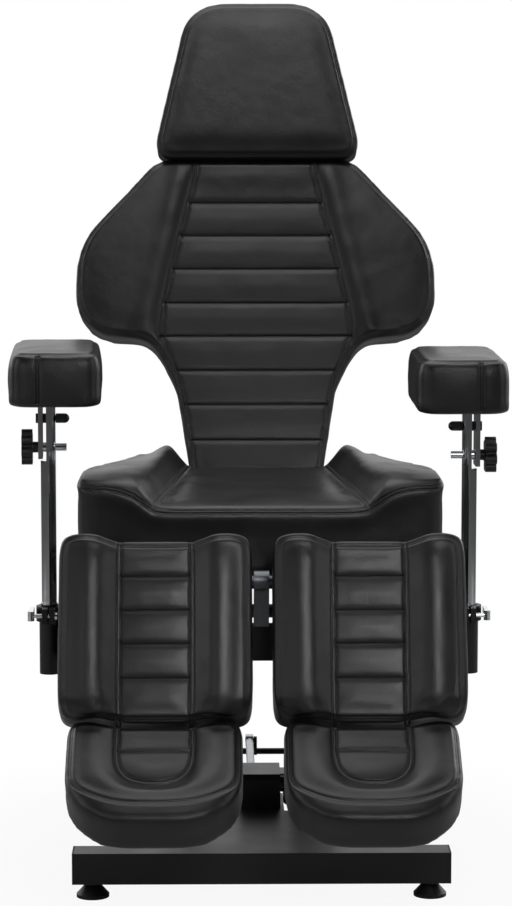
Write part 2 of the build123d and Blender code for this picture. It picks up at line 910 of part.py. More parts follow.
def centre_pins():
    low_x = inner_arm_x - arm_thickness / 2 - side_clearance
    high_x = outer_arm_x + arm_thickness / 2 + side_clearance
    pin = across(centre_pivot, low_x, high_x, centre_pin_radius)
    pin += across(centre_pivot, low_x - pin_head_height / 2, low_x, pin_head_radius)
    pin += across(centre_pivot, high_x, high_x + pin_head_height / 2, pin_head_radius)
    washer_low = inner_arm_x + arm_thickness / 2 + side_clearance
    washer_high = outer_arm_x - arm_thickness / 2 - side_clearance
    pin += across(centre_pivot, washer_low, washer_high, pin_head_radius)
    return group(both_sides(pin))


def upper_rollers():
    """Two rollers on one shaft through the tips of the inner arms."""
    end = roller_x + roller_width / 2
    shaft = across(inner_tip, -end, end, axle_radius)
    shoulder = inner_arm_x - arm_thickness / 2 - side_clearance
    wheel = across(inner_tip, roller_x - roller_width / 2, end, roller_radius)
    wheel += across(inner_tip, shoulder - pin_head_height, shoulder, roller_shoulder)
    return shaft + both_sides(wheel)


def lower_roller():
    """Roller on a stub axle through the tip of an outer arm, +X side."""
    shoulder = outer_arm_x - arm_thickness / 2 - side_clearance
    end = roller_x + roller_width / 2
    axle = across(outer_tip, shoulder - pin_head_height, end, axle_radius)
    axle += across(outer_tip, shoulder - pin_head_height, shoulder, roller_shoulder)
    return axle + across(outer_tip, roller_x - roller_width / 2, end, roller_radius)


def ram_line(distance, from_pin=False):
    """Place on the line from the cylinder's lug to the ram's pin."""
    angle = math.degrees(math.atan2(ram_pin[1] - ram_lug[1], ram_pin[0] - ram_lug[0]))
    place = point_at(ram_pin, distance, angle + 180) if from_pin else point_at(ram_lug, distance, angle)
    return (cylinder_x, place[0], place[1])


def lift_cylinder():
    low_x = cylinder_x - eye_width / 2
    high_x = cylinder_x + eye_width / 2
    body = rod(ram_line(cylinder_start), ram_line(cylinder_end), cylinder_radius)
    body -= rod(
        ram_line(cylinder_start + cylinder_cap), ram_line(cylinder_end - gland_length), cylinder_bore
    )
    body -= rod(
        ram_line(cylinder_end - gland_length - overrun),
        ram_line(cylinder_end + overrun),
        ram_radius + running_clearance,
    )
    body += across(ram_lug, low_x, high_x, cylinder_eye_radius)
    body += rod(ram_line(overrun), ram_line(cylinder_start + overrun), cylinder_neck / 2)
    return body - across(ram_lug, low_x - overrun, high_x + overrun, lug_pin_bore)


def lift_ram():
    low_x = cylinder_x - eye_width / 2
    high_x = cylinder_x + eye_width / 2
    tip = ram_line(ram_length, True)
    body = rod(ram_line(ram_tube_radius + overrun, True), tip, ram_radius)
    body += rod(
        ram_line(ram_length - piston_length, True), tip, cylinder_bore - running_clearance
    )
    body += across(ram_pin, low_x, high_x, ram_eye_radius)
    return body - across(ram_pin, low_x - overrun, high_x + overrun, ram_tube_radius + running_clearance)


# Seat frame

def hinge_plate(place, x_low, x_high, base_low, base_high, base_z, bore):
    """Upright plate from a beam to a cross shaft."""
    lean = hinge_ring_radius * 4 / 5
    web = polygon([
        (base_low, base_z),
        (base_high, base_z),
        (place[0] + lean, place[1]),
        (place[0] - lean, place[1]),
    ])
    result = plate(web, x_low, x_high) + across(place, x_low, x_high, hinge_ring_radius)
    return result - across(place, x_low - overrun, x_high + overrun, bore + running_clearance)


def riser(front_y):
    low = (channel_outer_x - riser_width, front_y, seat_rail_top_z)
    return block(low, (channel_outer_x, front_y + riser_length, bearer_low_z))


def bearer(front_y):
    return block(
        (-bearer_half, front_y, bearer_low_z), (bearer_half, front_y + bearer_length, seat_bottom_z)
    )


def outrigger():
    """Side arm from the seat frame to the socket of an armrest."""
    low_z = seat_rail_low_z - outrigger_drop
    high_z = low_z + outrigger_height
    half = outrigger_depth / 2
    inner_x = channel_outer_x - riser_width
    bar = hollow_bar(
        (inner_x, arm_y - half, low_z), (post_x - socket_bore, arm_y + half, high_z), channel_wall, 0
    )
    wing_x = post_x - socket_radius - outrigger_plate
    half = outrigger_plate_length / 2
    bar += block((wing_x, arm_y - half, low_z), (post_x - socket_radius + tube_wall, arm_y + half, high_z))
    socket = rod((post_x, arm_y, socket_bottom_z), (post_x, arm_y, socket_top_z), socket_radius)
    bore = rod(
        (post_x, arm_y, socket_bottom_z + socket_floor),
        (post_x, arm_y, socket_top_z + overrun),
        socket_bore,
    )
    return bar + socket - bore


def leg_spring_bracket():
    """Two cheeks beside the front riser that hold a leg spring."""
    wide = spring_eye_width / 2 + side_clearance + lug_thickness
    rear_y = riser_front_y + riser_length / 2
    low_z = leg_spring_seat_pin[1] - spring_lug_radius
    high_z = leg_spring_seat_pin[1] + spring_lug_radius
    back = block(
        (channel_outer_x - overrun, leg_spring_seat_pin[0] + spring_start + side_clearance, low_z),
        (leg_spring_x + wide, rear_y, high_z),
    )
    cheeks = []
    for side in (-1, 1):
        near = spring_eye_width / 2 + side_clearance
        span = sorted((leg_spring_x + side * near, leg_spring_x + side * wide))
        cheeks.append(across(leg_spring_seat_pin, span[0], span[1], spring_lug_radius))
        cheeks.append(block((span[0], leg_spring_seat_pin[0], low_z), (span[1], rear_y, high_z)))
    result = back + cheeks
    hole = across(
        leg_spring_seat_pin, leg_spring_x - wide - overrun, leg_spring_x + wide + overrun, spring_bore
    )
    return result - hole


def back_spring_bracket():
    """Two cheeks behind the middle beam that hold the back spring."""
    near = spring_eye_width / 2 + side_clearance
    wide = near + lug_thickness
    low_z = back_spring_seat_pin[1] - spring_lug_radius
    high_z = back_spring_seat_pin[1] + spring_lug_radius
    cheeks = []
    for span in ((-wide, -near), (near, wide)):
        cheeks.append(across(back_spring_seat_pin, span[0], span[1], spring_lug_radius))
        start = (span[0], mid_beam_rear_y - overrun, low_z)
        cheeks.append(block(start, (span[1], back_spring_seat_pin[0], high_z)))
    result = Part() + cheeks
    return result - across(back_spring_seat_pin, -wide - overrun, wide + overrun, spring_bore)


def seat_frame():
    rail = open_channel(seat_channel_front_y, seat_rail_rear_y, seat_rail_low_z)
    rail += pivot_block(upper_pivot)
    rail += [riser(riser_front_y), riser(riser_rear_y)]
    rail += outrigger()
    rail += leg_spring_bracket()
    rail += hinge_plate(
        back_hinge,
        back_plate_x,
        back_plate_x + hinge_plate_thickness,
        seat_rail_rear_y - back_plate_length,
        seat_rail_rear_y,
        seat_rail_top_z - overrun / 2,
        back_hinge_radius,
    )
    rail += hinge_plate(
        leg_hinge,
        hinge_plate_x,
        hinge_plate_x + hinge_plate_thickness,
        seat_channel_front_y - front_beam_depth,
        seat_channel_front_y,
        front_beam_top_z - overrun / 2,
        leg_hinge_radius,
    )
    frame = Part() + both_sides(rail)
    frame += block(
        (-front_beam_half_width, seat_channel_front_y - front_beam_depth, front_beam_low_z),
        (front_beam_half_width, seat_channel_front_y, front_beam_top_z),
    )
    frame += block(
        (-channel_outer_x, mid_beam_rear_y - mid_beam_depth, seat_rail_top_z),
        (channel_outer_x, mid_beam_rear_y, seat_rail_top_z + mid_beam_height),
    )
    frame += [bearer(riser_front_y + overrun), bearer(riser_rear_y + overrun)]
    return frame + back_spring_bracket()


def upper_pins():
    """Two fixed pivot pins of the lift under the seat."""
    inner = outer_arm_x - arm_thickness / 2 - side_clearance
    outer = outer_arm_x + arm_thickness / 2 + side_clearance
    pin = across(upper_pivot, inner - pin_head_height, pin_end_x, pivot_radius)
    pin += across(upper_pivot, inner - pin_head_height, inner, pin_head_radius)
    pin += across(upper_pivot, outer, channel_inner_x, pin_head_radius)
    return group(both_sides(pin))


def hinge_shafts():
    """Cross shafts of the leg rests and of the back, with the middle bracket of the leg rests."""
    leg_shaft = across(leg_hinge, -leg_shaft_half, leg_shaft_half, leg_hinge_radius)
    half = centre_bracket_width / 2
    bracket = hinge_plate(
        leg_hinge,
        -half,
        half,
        seat_channel_front_y - front_beam_depth,
        seat_channel_front_y,
        front_beam_top_z,
        leg_hinge_radius - running_clearance,
    )
    end = back_plate_x + hinge_plate_thickness
    back_shaft = across(back_hinge, -end, end, back_hinge_radius)
    return group(leg_shaft + bracket, back_shaft)


def clamp_collar():
    """Split collar on the top of a socket, +X side."""
    ring = rod((post_x, arm_y, collar_low_z), (post_x, arm_y, socket_top_z), collar_radius)
    ear = block(
        (post_x - collar_ear / 2 - collar_slit, clamp_bolt_y - collar_ear / 2, collar_low_z),
        (post_x + collar_ear / 2 + collar_slit, arm_y, socket_top_z),
    )
    slit = block(
        (post_x - collar_slit / 2, clamp_bolt_y - collar_ear, collar_low_z - overrun),
        (post_x + collar_slit / 2, arm_y, socket_top_z + overrun),
    )
    bore = rod(
        (post_x, arm_y, collar_low_z - overrun),
        (post_x, arm_y, socket_top_z + overrun),
        socket_radius + running_clearance,
    )
    hole = across((clamp_bolt_y, collar_mid_z), post_x - collar_radius, post_x + collar_radius, clamp_bore)
    return ring + ear - slit - bore - hole


def clamp_bolt():
    """Bolt of a socket clamp, with the eye that its lever turns on."""
    inner = post_x - collar_ear / 2 - collar_slit
    bolt = across((clamp_bolt_y, collar_mid_z), inner - pin_head_height, lever_x, clamp_bolt_radius)
    bolt += across((clamp_bolt_y, collar_mid_z), inner - pin_head_height, inner, clamp_bolt_radius * 2)
    eye_low = (lever_x, clamp_bolt_y, collar_mid_z - lever_height / 2 + lever_wall)
    eye_high = (lever_x, clamp_bolt_y, collar_mid_z + lever_height / 2 - lever_wall)
    eye = rod(eye_low, eye_high, lever_thickness / 2 + lever_wall)
    hole = rod(
        (lever_x, clamp_bolt_y, collar_low_z), (lever_x, clamp_bolt_y, socket_top_z), lever_bore
    )
    return bolt + eye - hole


def clamp_lever():
    """Quick-release lever with its own pin, +X side."""
    low_z = collar_mid_z - lever_height / 2 - lever_wall
    high_z = collar_mid_z + lever_height / 2 + lever_wall
    radius = lever_thickness / 2 + lever_wall
    head = rod((lever_x, clamp_bolt_y, low_z), (lever_x, clamp_bolt_y, high_z), radius)
    half = lever_thickness / 2
    shank = block(
        (lever_x - half, clamp_bolt_y, low_z), (lever_x + half, clamp_bolt_y + lever_length, high_z)
    )
    slot = block(
        (lever_x - radius - overrun, clamp_bolt_y - radius - overrun, eye_low_z),
        (lever_x + radius + overrun, clamp_bolt_y + radius + lever_wall, eye_high_z),
    )
    pin = rod((lever_x, clamp_bolt_y, low_z), (lever_x, clamp_bolt_y, high_z), lever_pin_radius)
    return head + shank - slot + pin


# Seat cushion

def seat_outline(inset):
    """Plan of the seat, from the rear to the front, drawn in by an inset."""
    half = [
        (seat_rear_half_width - inset, seat_rear_y - inset),
        (seat_half_width - inset, seat_front_y + seat_straight_side),
        (seat_half_width - inset, seat_front_y + inset),
    ]
    radii = [seat_corner_radius, seat_corner_radius * 2, seat_corner_radius]
    return mirrored(half, radii)


def seat_side(low_z, inset):
    """Side view of the seat: it rises to the rear, where it leans with the back."""
    rise = (seat_rear_y - seat_rear_low_y) / (seat_bolster_rear_z - seat_bottom_z)
    rear_low = seat_rear_low_y + (low_z - seat_bottom_z) * rise - inset
    return rounded(
        [
            (seat_front_y + inset, low_z),
            (rear_low, low_z),
            (seat_rear_y - inset, seat_bolster_rear_z),
            (seat_front_y + inset, seat_bolster_front_z),
        ],
        [seat_low_radius, seat_low_radius, seat_edge_radius, seat_edge_radius],
    )


def seat_board():
    board = extrude(Plane.XY.offset(seat_bottom_z) * seat_outline(seat_board_inset), seat_board_thickness)
    side = plate(seat_side(seat_bottom_z - overrun, seat_board_inset), -seat_half_width, seat_half_width)
    return board & side


def seat_cushion():
    low_z = seat_bottom_z + seat_board_thickness
    body = extrude(Plane.XY.offset(low_z) * seat_outline(0), seat_bolster_rear_z - seat_bottom_z)
    body &= plate(seat_side(low_z, 0), -seat_half_width - overrun, seat_half_width + overrun)
    front = rounded(
        [
            (-seat_half_width, low_z - overrun),
            (seat_half_width, low_z - overrun),
            (seat_half_width - seat_draw_in, seat_bolster_rear_z + overrun),
            (draw_in_left, seat_bolster_rear_z + overrun),
        ],
        [seat_low_radius, seat_low_radius, seat_edge_radius, seat_edge_radius],
    )
    body &= extrude(Plane.XZ * front, amount=seat_half_width * 2, both=True)
    length = seat_rear_y - seat_front_y
    tilt = (seat_panel_rear_z - seat_panel_front_z) / length
    panel_plane = Plane(
        origin=(0, seat_front_y, seat_panel_front_z), x_dir=(1, 0, 0), z_dir=(0, -tilt, 1)
    )
    pan = polygon([
        (-seat_panel_front_half, -overrun),
        (seat_panel_front_half, -overrun),
        (seat_panel_rear_half, length + overrun),
        (-seat_panel_rear_half, length + overrun),
    ])
    body -= extrude(panel_plane * pan, amount=seat_pan_height, taper=-seat_pan_slope_angle)
    return body


# Backrest

def back_outline(inset):
    """Front of the back: straight top, wings at the elbows, narrow waist."""
    half = [
        (back_top_half - inset, back_top - inset),
        (back_wing_half - inset, back_wing_high - inset / 2),
        (back_widest_half - inset, back_wing_low + inset),
        (back_waist_high_half - inset, back_wing_low - back_wing_slope + inset),
        (back_waist_half - inset, back_waist_height),
        (back_bottom_half - inset, -back_bottom + inset),
    ]
    radii = [
        back_top_radius, back_wing_radius, back_elbow_radius, back_waist_high_radius, back_waist_radius,
        back_bottom_radius,
    ]
    return mirrored(half, radii)


def back_panel_points():
    """Edge of the channelled panel: heights on the back with their half widths."""
    return [(along * back_top, half * back_widest_half) for along, half in back_panel_shares]


def back_panel_half(along):
    """Half width of the channelled panel at a height on the back."""
    points = back_panel_points()
    for (low, low_half), (high, high_half) in zip(points, points[1:]):
        if along <= high:
            share = (along - low) / (high - low)
            return low_half + (high_half - low_half) * share
    return points[-1][1]


def back_cushion():
    body = upholstered(back_outline(0), back_foam, back_edge_radius)
    right = [(half, along) for along, half in back_panel_points()]
    left = [(-x, along) for x, along in reversed(right)]
    panel = extrude(polygon(right + left), amount=-panel_recess)
    body -= panel
    for index in range(back_channel_count):
        along = back_top_channel_height - index * back_channel_pitch
        body -= Pos(0, 0, -panel_recess) * groove(back_panel_half(along), along, groove_depth)
    return back_plane.location * body


def back_board():
    board = extrude(back_outline(back_board_inset), amount=-board_thickness)
    return back_plane.location * Pos(0, 0, -back_foam) * board


def back_frame():
    """Two uprights with cross bars, hinge sleeves, headrest sleeves and the spring bracket."""
    depth = back_foam + board_thickness
    low_along = -back_hinge_below
    low_x = back_upright_x - upright_width / 2
    high_x = back_upright_x + upright_width / 2
    upright = block((low_x, low_along, -depth - upright_depth), (high_x, back_upright_top, -depth))
    frame = Part() + both_sides(upright)
    for along in (back_low_bar_height, back_high_bar_height):
        frame += block(
            (-low_x, along, -depth - upright_depth),
            (low_x, along + upright_width, -depth - upright_depth + back_bar_depth),
        )
    sleeve_z = -depth - head_sleeve_radius
    sleeve = rod(
        (head_rod_x, back_sleeve_low, sleeve_z),
        (head_rod_x, back_sleeve_low + head_sleeve_length, sleeve_z),
        head_sleeve_radius,
    )
    frame += both_sides(sleeve)
    bore = rod(
        (head_rod_x, back_sleeve_low - overrun, sleeve_z),
        (head_rod_x, back_upright_top + head_rod_length, sleeve_z),
        head_rod_radius + running_clearance,
    )
    frame -= both_sides(bore)
    frame = back_plane.location * frame
    frame += both_sides(across(back_hinge, low_x, high_x, hinge_ring_radius))
    frame -= across(back_hinge, -post_x, post_x, back_hinge_radius + running_clearance)
    return frame + back_spring_yoke()


def back_spring_yoke():
    """Two gusset cheeks from the lowest cross bar back to the spring pin."""
    near = spring_eye_width / 2 + side_clearance
    wide = near + lug_thickness
    depth = back_foam + board_thickness + upright_depth
    first = back_low_bar_height
    low = on_plane(back_plane, first, depth - overrun)
    high = on_plane(back_plane, first + upright_width, depth - overrun)
    tip = back_spring_back_pin
    web = polygon([low, high, (tip[0], tip[1] + spring_lug_radius), (tip[0], tip[1] - spring_lug_radius)])
    result = Part()
    for span in ((-wide, -near), (near, wide)):
        result += plate(web, span[0], span[1])
        result += across(tip, span[0], span[1], spring_lug_radius)
    return result - across(tip, -wide - overrun, wide + overrun, spring_bore)


def spring_tube(start, end, x, length, radius, rod_radius):
    """Pressure tube of a gas spring with its eye, pin and guide."""
    def place(distance):
        angle = math.degrees(math.atan2(end[1] - start[1], end[0] - start[0]))
        spot = point_at(start, distance, angle)
        return (x, spot[0], spot[1])

    half = spring_eye_width / 2
    body = rod(place(spring_start), place(spring_start + length), radius)
    body -= rod(
        place(spring_start + spring_cap), place(spring_start + length - spring_cap), radius - spring_wall
    )
    body -= rod(
        place(spring_start + length - spring_cap - overrun),
        place(spring_start + length + overrun),
        rod_radius + running_clearance,
    )
    body += rod(place(0), place(spring_start + overrun), half * 6 / 7)
    body += across(start, x - half, x + half, spring_eye_radius)
    pin = half + side_clearance + lug_thickness
    return body + across(start, x - pin, x + pin, spring_pin_radius)


def spring_rod(start, end, x, length, radius, piston_radius):
    """Rod of a gas spring with its piston, eye and pin."""
    angle = math.degrees(math.atan2(end[1] - start[1], end[0] - start[0]))
    tip = point_at(start, length, angle)
    neck = point_at(start, length - spring_cap, angle)
    half = spring_eye_width / 2
    body = rod((x, start[0], start[1]), (x, tip[0], tip[1]), radius)
    body += rod((x, neck[0], neck[1]), (x, tip[0], tip[1]), piston_radius - running_clearance)
    body += across(start, x - half, x + half, spring_eye_radius)
    pin = half + side_clearance + lug_thickness
    return body + across(start, x - pin, x + pin, spring_pin_radius)


# Headrest

def head_outline():
    half = [
        (head_top_half, head_height + head_bottom),
        (head_low_half, head_bottom),
    ]
    return mirrored(half, [head_top_radius, head_low_radius])


def head_cushion():
    return head_plane.location * upholstered(head_outline(), head_foam, head_edge_radius)


def head_plate():
    """Steel plate in the headrest with two hinge ears."""
    plate_solid = block(
        (-head_plate_half, head_plate_low, -head_foam - head_plate_thickness),
        (head_plate_half, head_plate_high, -head_foam),
    )
    result = head_plane.location * plate_solid
    for side in (-1, 1):
        span = sorted((side * head_ear_x, side * (head_ear_x + hinge_plate_thickness)))
        low = on_plane(head_plane, head_hinge_above - head_ear_half, head_foam)
        high = on_plane(head_plane, head_hinge_above + head_ear_half, head_foam)
        result += plate(polygon([low, high, head_hinge]), span[0], span[1])
        result += across(head_hinge, span[0], span[1], head_ear_radius)
    return result - across(head_hinge, -head_low_half, head_low_half, head_axle_radius + running_clearance)


def head_rods():
    """Two chrome rods with the cross axle that the headrest tilts on."""
    depth = back_foam + board_thickness + head_sleeve_radius
    local = back_plane.to_local_coords(Vector(0, head_hinge[0], head_hinge[1]))
    start = (head_rod_x, back_sleeve_low + overrun, -depth)
    bar = rod(start, (head_rod_x, local.Y - head_neck_drop, -depth), head_rod_radius)
    bar = back_plane.location * bar
    high = on_plane(back_plane, local.Y - head_neck_drop, depth)
    bar += Sphere(head_rod_radius).moved(Location((head_rod_x, high[0], high[1])))
    bar += rod((head_rod_x, high[0], high[1]), (head_rod_x, head_hinge[0], head_hinge[1]), head_rod_radius)
    ear_end = head_ear_x + hinge_plate_thickness + side_clearance
    bars = Part() + both_sides(bar)
    bars += across(head_hinge, -ear_end, ear_end, head_axle_radius)
    bars += both_sides(across(head_hinge, ear_end, ear_end + pin_head_height, head_ear_radius))
    return bars


# Leg rests, +X side

def calf_outline(inset):
    """Front of a calf pad: square shoulders and a bowed lower edge."""
    half = [
        (calf_half_width - inset, -inset),
        (calf_half_width - inset, calf_low_rise - calf_length + inset),
        (calf_low_half, inset - calf_length),
    ]
    return mirrored(half, [calf_corner - inset / 2, calf_low_corner - inset / 2, calf_low_radius])


def calf_pad():
    body = upholstered(calf_outline(0), calf_foam, calf_edge_radius)
    pan = polygon([
        (-calf_panel_half, -calf_recess),
        (calf_panel_half, -calf_recess),
        (calf_crest_half, overrun / 5),
        (-calf_crest_half, overrun / 5),
    ])
    cutter = extrude(Plane.XZ * pan, amount=calf_length * 2, both=True)
    body -= cutter
    for index in range(calf_channel_count):
        along = -calf_first_channel - index * calf_channel_pitch
        body -= Pos(0, 0, -calf_recess) * groove(calf_panel_half, along, groove_depth)
    return leg_plane.location * Pos(leg_x, 0, 0) * body


def leg_frame():
    """Tray on two square tubes with cross bars, hinge sleeves and the ears of the leg spring."""
    depth = calf_foam + calf_tray_thickness
    half = leg_tube_side / 2
    low = -calf_length + calf_board_inset
    outline = calf_outline(calf_board_inset)
    frame = Pos(0, 0, -calf_foam) * extrude(outline, amount=-calf_tray_thickness)
    for side in (-1, 1):
        x = side * leg_tube_x
        frame += block((x - half, low, -depth - leg_tube_side), (x + half, leg_tube_high, -depth))
    for along in (-leg_high_bar_drop, -leg_low_bar_drop):
        frame += block(
            (-leg_tube_x, along - half, -depth - leg_bar_depth), (leg_tube_x, along + half, -depth)
        )
    for side in (-1, 1):
        x = side * leg_tube_x
        rod_z = -depth - half
        frame -= rod((x, low - overrun, rod_z), (x, leg_bore_high, rod_z), slide_rod_radius + running_clearance)
    frame = leg_plane.location * Pos(leg_x, 0, 0) * frame
    for side in (-1, 1):
        x = leg_x + side * leg_tube_x
        frame += across(leg_hinge, x - half, x + half, leg_sleeve_radius)
    frame -= across(leg_hinge, 0, post_x, leg_hinge_radius + running_clearance)
    return frame + leg_spring_ears()


def leg_spring_ears():
    depth = calf_foam + calf_tray_thickness
    near = spring_eye_width / 2 + side_clearance
    wide = near + lug_thickness
    lower = -leg_low_bar_drop
    half = leg_tube_side / 2
    low = on_plane(leg_plane, lower - half, depth + overrun)
    high = on_plane(leg_plane, lower + half, depth + overrun / 5)
    deep = on_plane(leg_plane, lower - half, depth + leg_bar_depth)
    tip = leg_spring_leg_pin
    back = point_at(tip, leg_spring_lug_radius, leg_down + right_angle)
    front = point_at(tip, leg_spring_lug_radius, leg_down - right_angle)
    web = polygon([low, high, front, back, deep])
    result = Part()
    for side in (-1, 1):
        span = sorted((leg_spring_x + side * near, leg_spring_x + side * wide))
        result += plate(web, span[0], span[1])
        result += across(tip, span[0], span[1], leg_spring_lug_radius)
    return result - across(tip, leg_spring_x - wide - overrun, leg_spring_x + wide + overrun, spring_bore)


def foot_rods():
    """Two rods that slide in the leg tubes and carry the hinge of the foot rest."""
    depth = calf_foam + calf_tray_thickness + leg_tube_side / 2
    local = leg_plane.to_local_coords(Vector(0, foot_hinge[0], foot_hinge[1]))
    low = local.Y
    rods = Part()
    for side in (-1, 1):
        x = side * leg_tube_x
        rods += rod((x, low, -depth), (x, low + slide_rod_length, -depth), slide_rod_radius)
    rods += rod((-leg_tube_x, low, -depth), (leg_tube_x, low, -depth), slide_rod_radius)
    for side in (-1, 1):
        x = side * leg_tube_x
        rods += Sphere(slide_rod_radius).moved(Location((x, low, -depth)))
        rods += rod((x, low, -depth), (x, low, local.Z), slide_rod_radius)
    rods = leg_plane.location * Pos(leg_x, 0, 0) * rods
    end = leg_tube_x + foot_axle_overhang
    rods += across(foot_hinge, leg_x - end, leg_x + end, foot_axle_radius)
    return rods


def foot_tray():
    """Steel tray under the foot pad with two hinge ears."""
    side = foot_half_width - foot_draw_in - foot_board_inset
    half = [(side, foot_top - foot_board_inset), (side, foot_top - foot_length + foot_board_inset)]
    outline = mirrored(half, [foot_board_inset, foot_low_radius - foot_board_inset])
    tray = extrude(outline, amount=-foot_tray_thickness)
    tray = foot_plane.location * Pos(leg_x, 0, -foot_foam) * tray
    for side in (-1, 1):
        middle = leg_x + side * foot_ear_x
        span = (middle - hinge_plate_thickness / 2, middle + hinge_plate_thickness / 2)
        low = on_plane(foot_plane, -foot_hinge_below - foot_ear_half, foot_foam)
        high = on_plane(foot_plane, -foot_board_inset + foot_top, foot_foam)
        tray += plate(polygon([low, high, foot_hinge]), span[0], span[1])
        tray += across(foot_hinge, span[0], span[1], foot_ear_radius)
    return tray - across(foot_hinge, 0, post_x, foot_axle_radius + running_clearance)


def foot_pad():
    side = foot_half_width - foot_draw_in
    horn = foot_top + foot_horn_rise
    half = [(foot_dip_half, foot_top), (foot_horn_half, horn), (side, horn), (side, foot_top - foot_length)]
    radii = [foot_dip_radius, foot_dip_radius, foot_high_radius, foot_low_radius]
    body = upholstered(mirrored(half, radii), foot_foam, calf_edge_radius)
    pan = RectangleRounded(foot_panel_half * 2, foot_length, foot_panel_radius)
    body -= extrude(Pos(0, foot_panel_shift) * pan, amount=-panel_recess)
    body -= Pos(0, 0, -panel_recess) * groove(foot_panel_half, -calf_channel_pitch, groove_depth)
    return foot_plane.location * Pos(leg_x, 0, 0) * body


# Armrests, +X side

def arm_bush():
    outer = rod((post_x, arm_y, bush_bottom_z), (post_x, arm_y, bush_top_z), socket_bore - running_clearance)
    return outer - rod(
        (post_x, arm_y, bush_bottom_z - overrun),
        (post_x, arm_y, bush_top_z + overrun),
        post_radius + running_clearance,
    )


def arm_post():
    """Chrome post with a half cut top end and two retaining rings."""
    post = rod((post_x, arm_y, post_bottom_z), (post_x, arm_y, post_top_z), post_radius)
    post += rod(
        (post_x, arm_y, post_bottom_z),
        (post_x, arm_y, post_bottom_z + post_flange),
        post_flange_radius,
    )
    ring_z = bush_top_z + side_clearance
    post += rod((post_x, arm_y, ring_z), (post_x, arm_y, ring_z + post_ring), post_flange_radius)
    post -= block(
        (post_x + post_tongue, arm_y - post_radius - overrun, post_notch_z),
        (post_x + post_radius + overrun, arm_y + post_radius + overrun, post_top_z + overrun),
    )
    for z in (pad_pivot_z, pad_lock_z):
        post -= across((arm_y, z), post_x - collar_radius, post_x + collar_radius, lock_bolt_radius + running_clearance)
    return post


def arm_bolts():
    """Pivot bolt with its dome cap, lock bolt and the two spacers."""
    inner = post_x - post_radius
    pivot = across((arm_y, pad_pivot_z), inner - lock_bolt_reach / 2, strap_outer_x + pin_head_height, lock_bolt_radius)
    cap_start = (inner - side_clearance, arm_y, pad_pivot_z)
    cap_end = (inner - lock_bolt_reach / 2, arm_y, pad_pivot_z)
    pivot += rod(cap_end, cap_start, dome_radius)
    pivot += Sphere(dome_radius).moved(Location(cap_end))
    pivot += across(
        (arm_y, pad_pivot_z), strap_outer_x + side_clearance, strap_outer_x + pin_head_height, dome_radius
    )
    lock = across((arm_y, pad_lock_z), inner - lock_bolt_reach * 3 / 5, strap_outer_x + knob_hub_length, lock_bolt_radius)
    lock += across((arm_y, pad_lock_z), inner - lock_bolt_reach * 3 / 5, inner - side_clearance, lock_bolt_radius * 5 / 4)
    spacers = []
    for z in (pad_pivot_z, pad_lock_z):
        spacers.append(
            across((arm_y, z), post_x + post_tongue, strap_x - side_clearance, dome_radius)
        )
    return group(pivot + spacers[0], lock + spacers[1])


def arm_bracket():
    """Strap with an arc slot, welded to the flange under the pad."""
    half = strap_width / 2
    low_z = pad_lock_z - half * 3 / 4
    strap = block((strap_x, arm_y - half, low_z), (strap_outer_x, arm_y + half, pad_bottom_z))
    flange = block(
        (pad_centre_x - strap_flange_width / 2, arm_y - strap_flange_length / 2, pad_bottom_z - strap_flange_thickness),
        (pad_centre_x + strap_flange_width / 2, arm_y + strap_flange_length / 2, pad_bottom_z),
    )
    bracket = strap + flange
    bracket -= across((arm_y, pad_pivot_z), post_x, post_x + strap_width, lock_bolt_radius + running_clearance)
    pivot = (arm_y, pad_pivot_z)
    reach = pad_pivot_z - pad_lock_z
    steps = int(slot_sweep_angle)
    for step in range(-steps, steps + 1, 2):
        place = point_at(pivot, reach, 270 + step)
        bracket -= across(place, post_x + post_radius / 2, post_x + strap_width, slot_radius)
    return bracket


def arm_pad():
    """Padded armrest with rounded edges."""
    half = pad_width / 2
    body = block(
        (pad_centre_x - half, pad_centre_y - pad_length / 2, pad_bottom_z),
        (pad_centre_x + half, pad_centre_y + pad_length / 2, pad_bottom_z + pad_height),
    )
    uprights = body.edges().filter_by(Axis.Z)
    body = fillet(uprights, pad_corner_radius)
    top = body.faces().sort_by(Axis.Z)[-1]
    body = fillet(top.edges(), pad_edge_radius)
    return body


def lobed_knob():
    """Clamping knob with lobes around its rim."""
    start = strap_outer_x + side_clearance
    grip = start + knob_hub_length
    centre = (arm_y, pad_lock_z)
    knob = across(centre, start, grip, knob_hub_radius)
    core = knob_radius - knob_lobe_radius
    knob += across(centre, grip, grip + knob_thickness, core)
    for index in range(knob_lobe_count):
        place = point_at(centre, core, 90 + index * 360 / knob_lobe_count)
        knob += across(place, grip, grip + knob_thickness, knob_lobe_radius)
    return knob - across(centre, start - overrun, strap_outer_x + knob_hub_length, lock_bolt_radius + running_clearance)


# Writing the pieces

def left(shape):
    return mirror(shape, about=Plane.YZ)


def right_arm(shape):
    """Places an armrest piece on the +X side as it stands in use: lowered."""
    return group([Pos(0, 0, -right_arm_drop) * solid for solid in shape.solids()])


def left_arm(shape):
    """Places an armrest piece on the -X side as it stands in use: turned about its post."""
    place = Pos(-post_x, arm_y, 0) * Rot(0, 0, left_arm_yaw_angle) * Pos(post_x, -arm_y, 0)
    return group([place * solid for solid in left(shape).solids()])


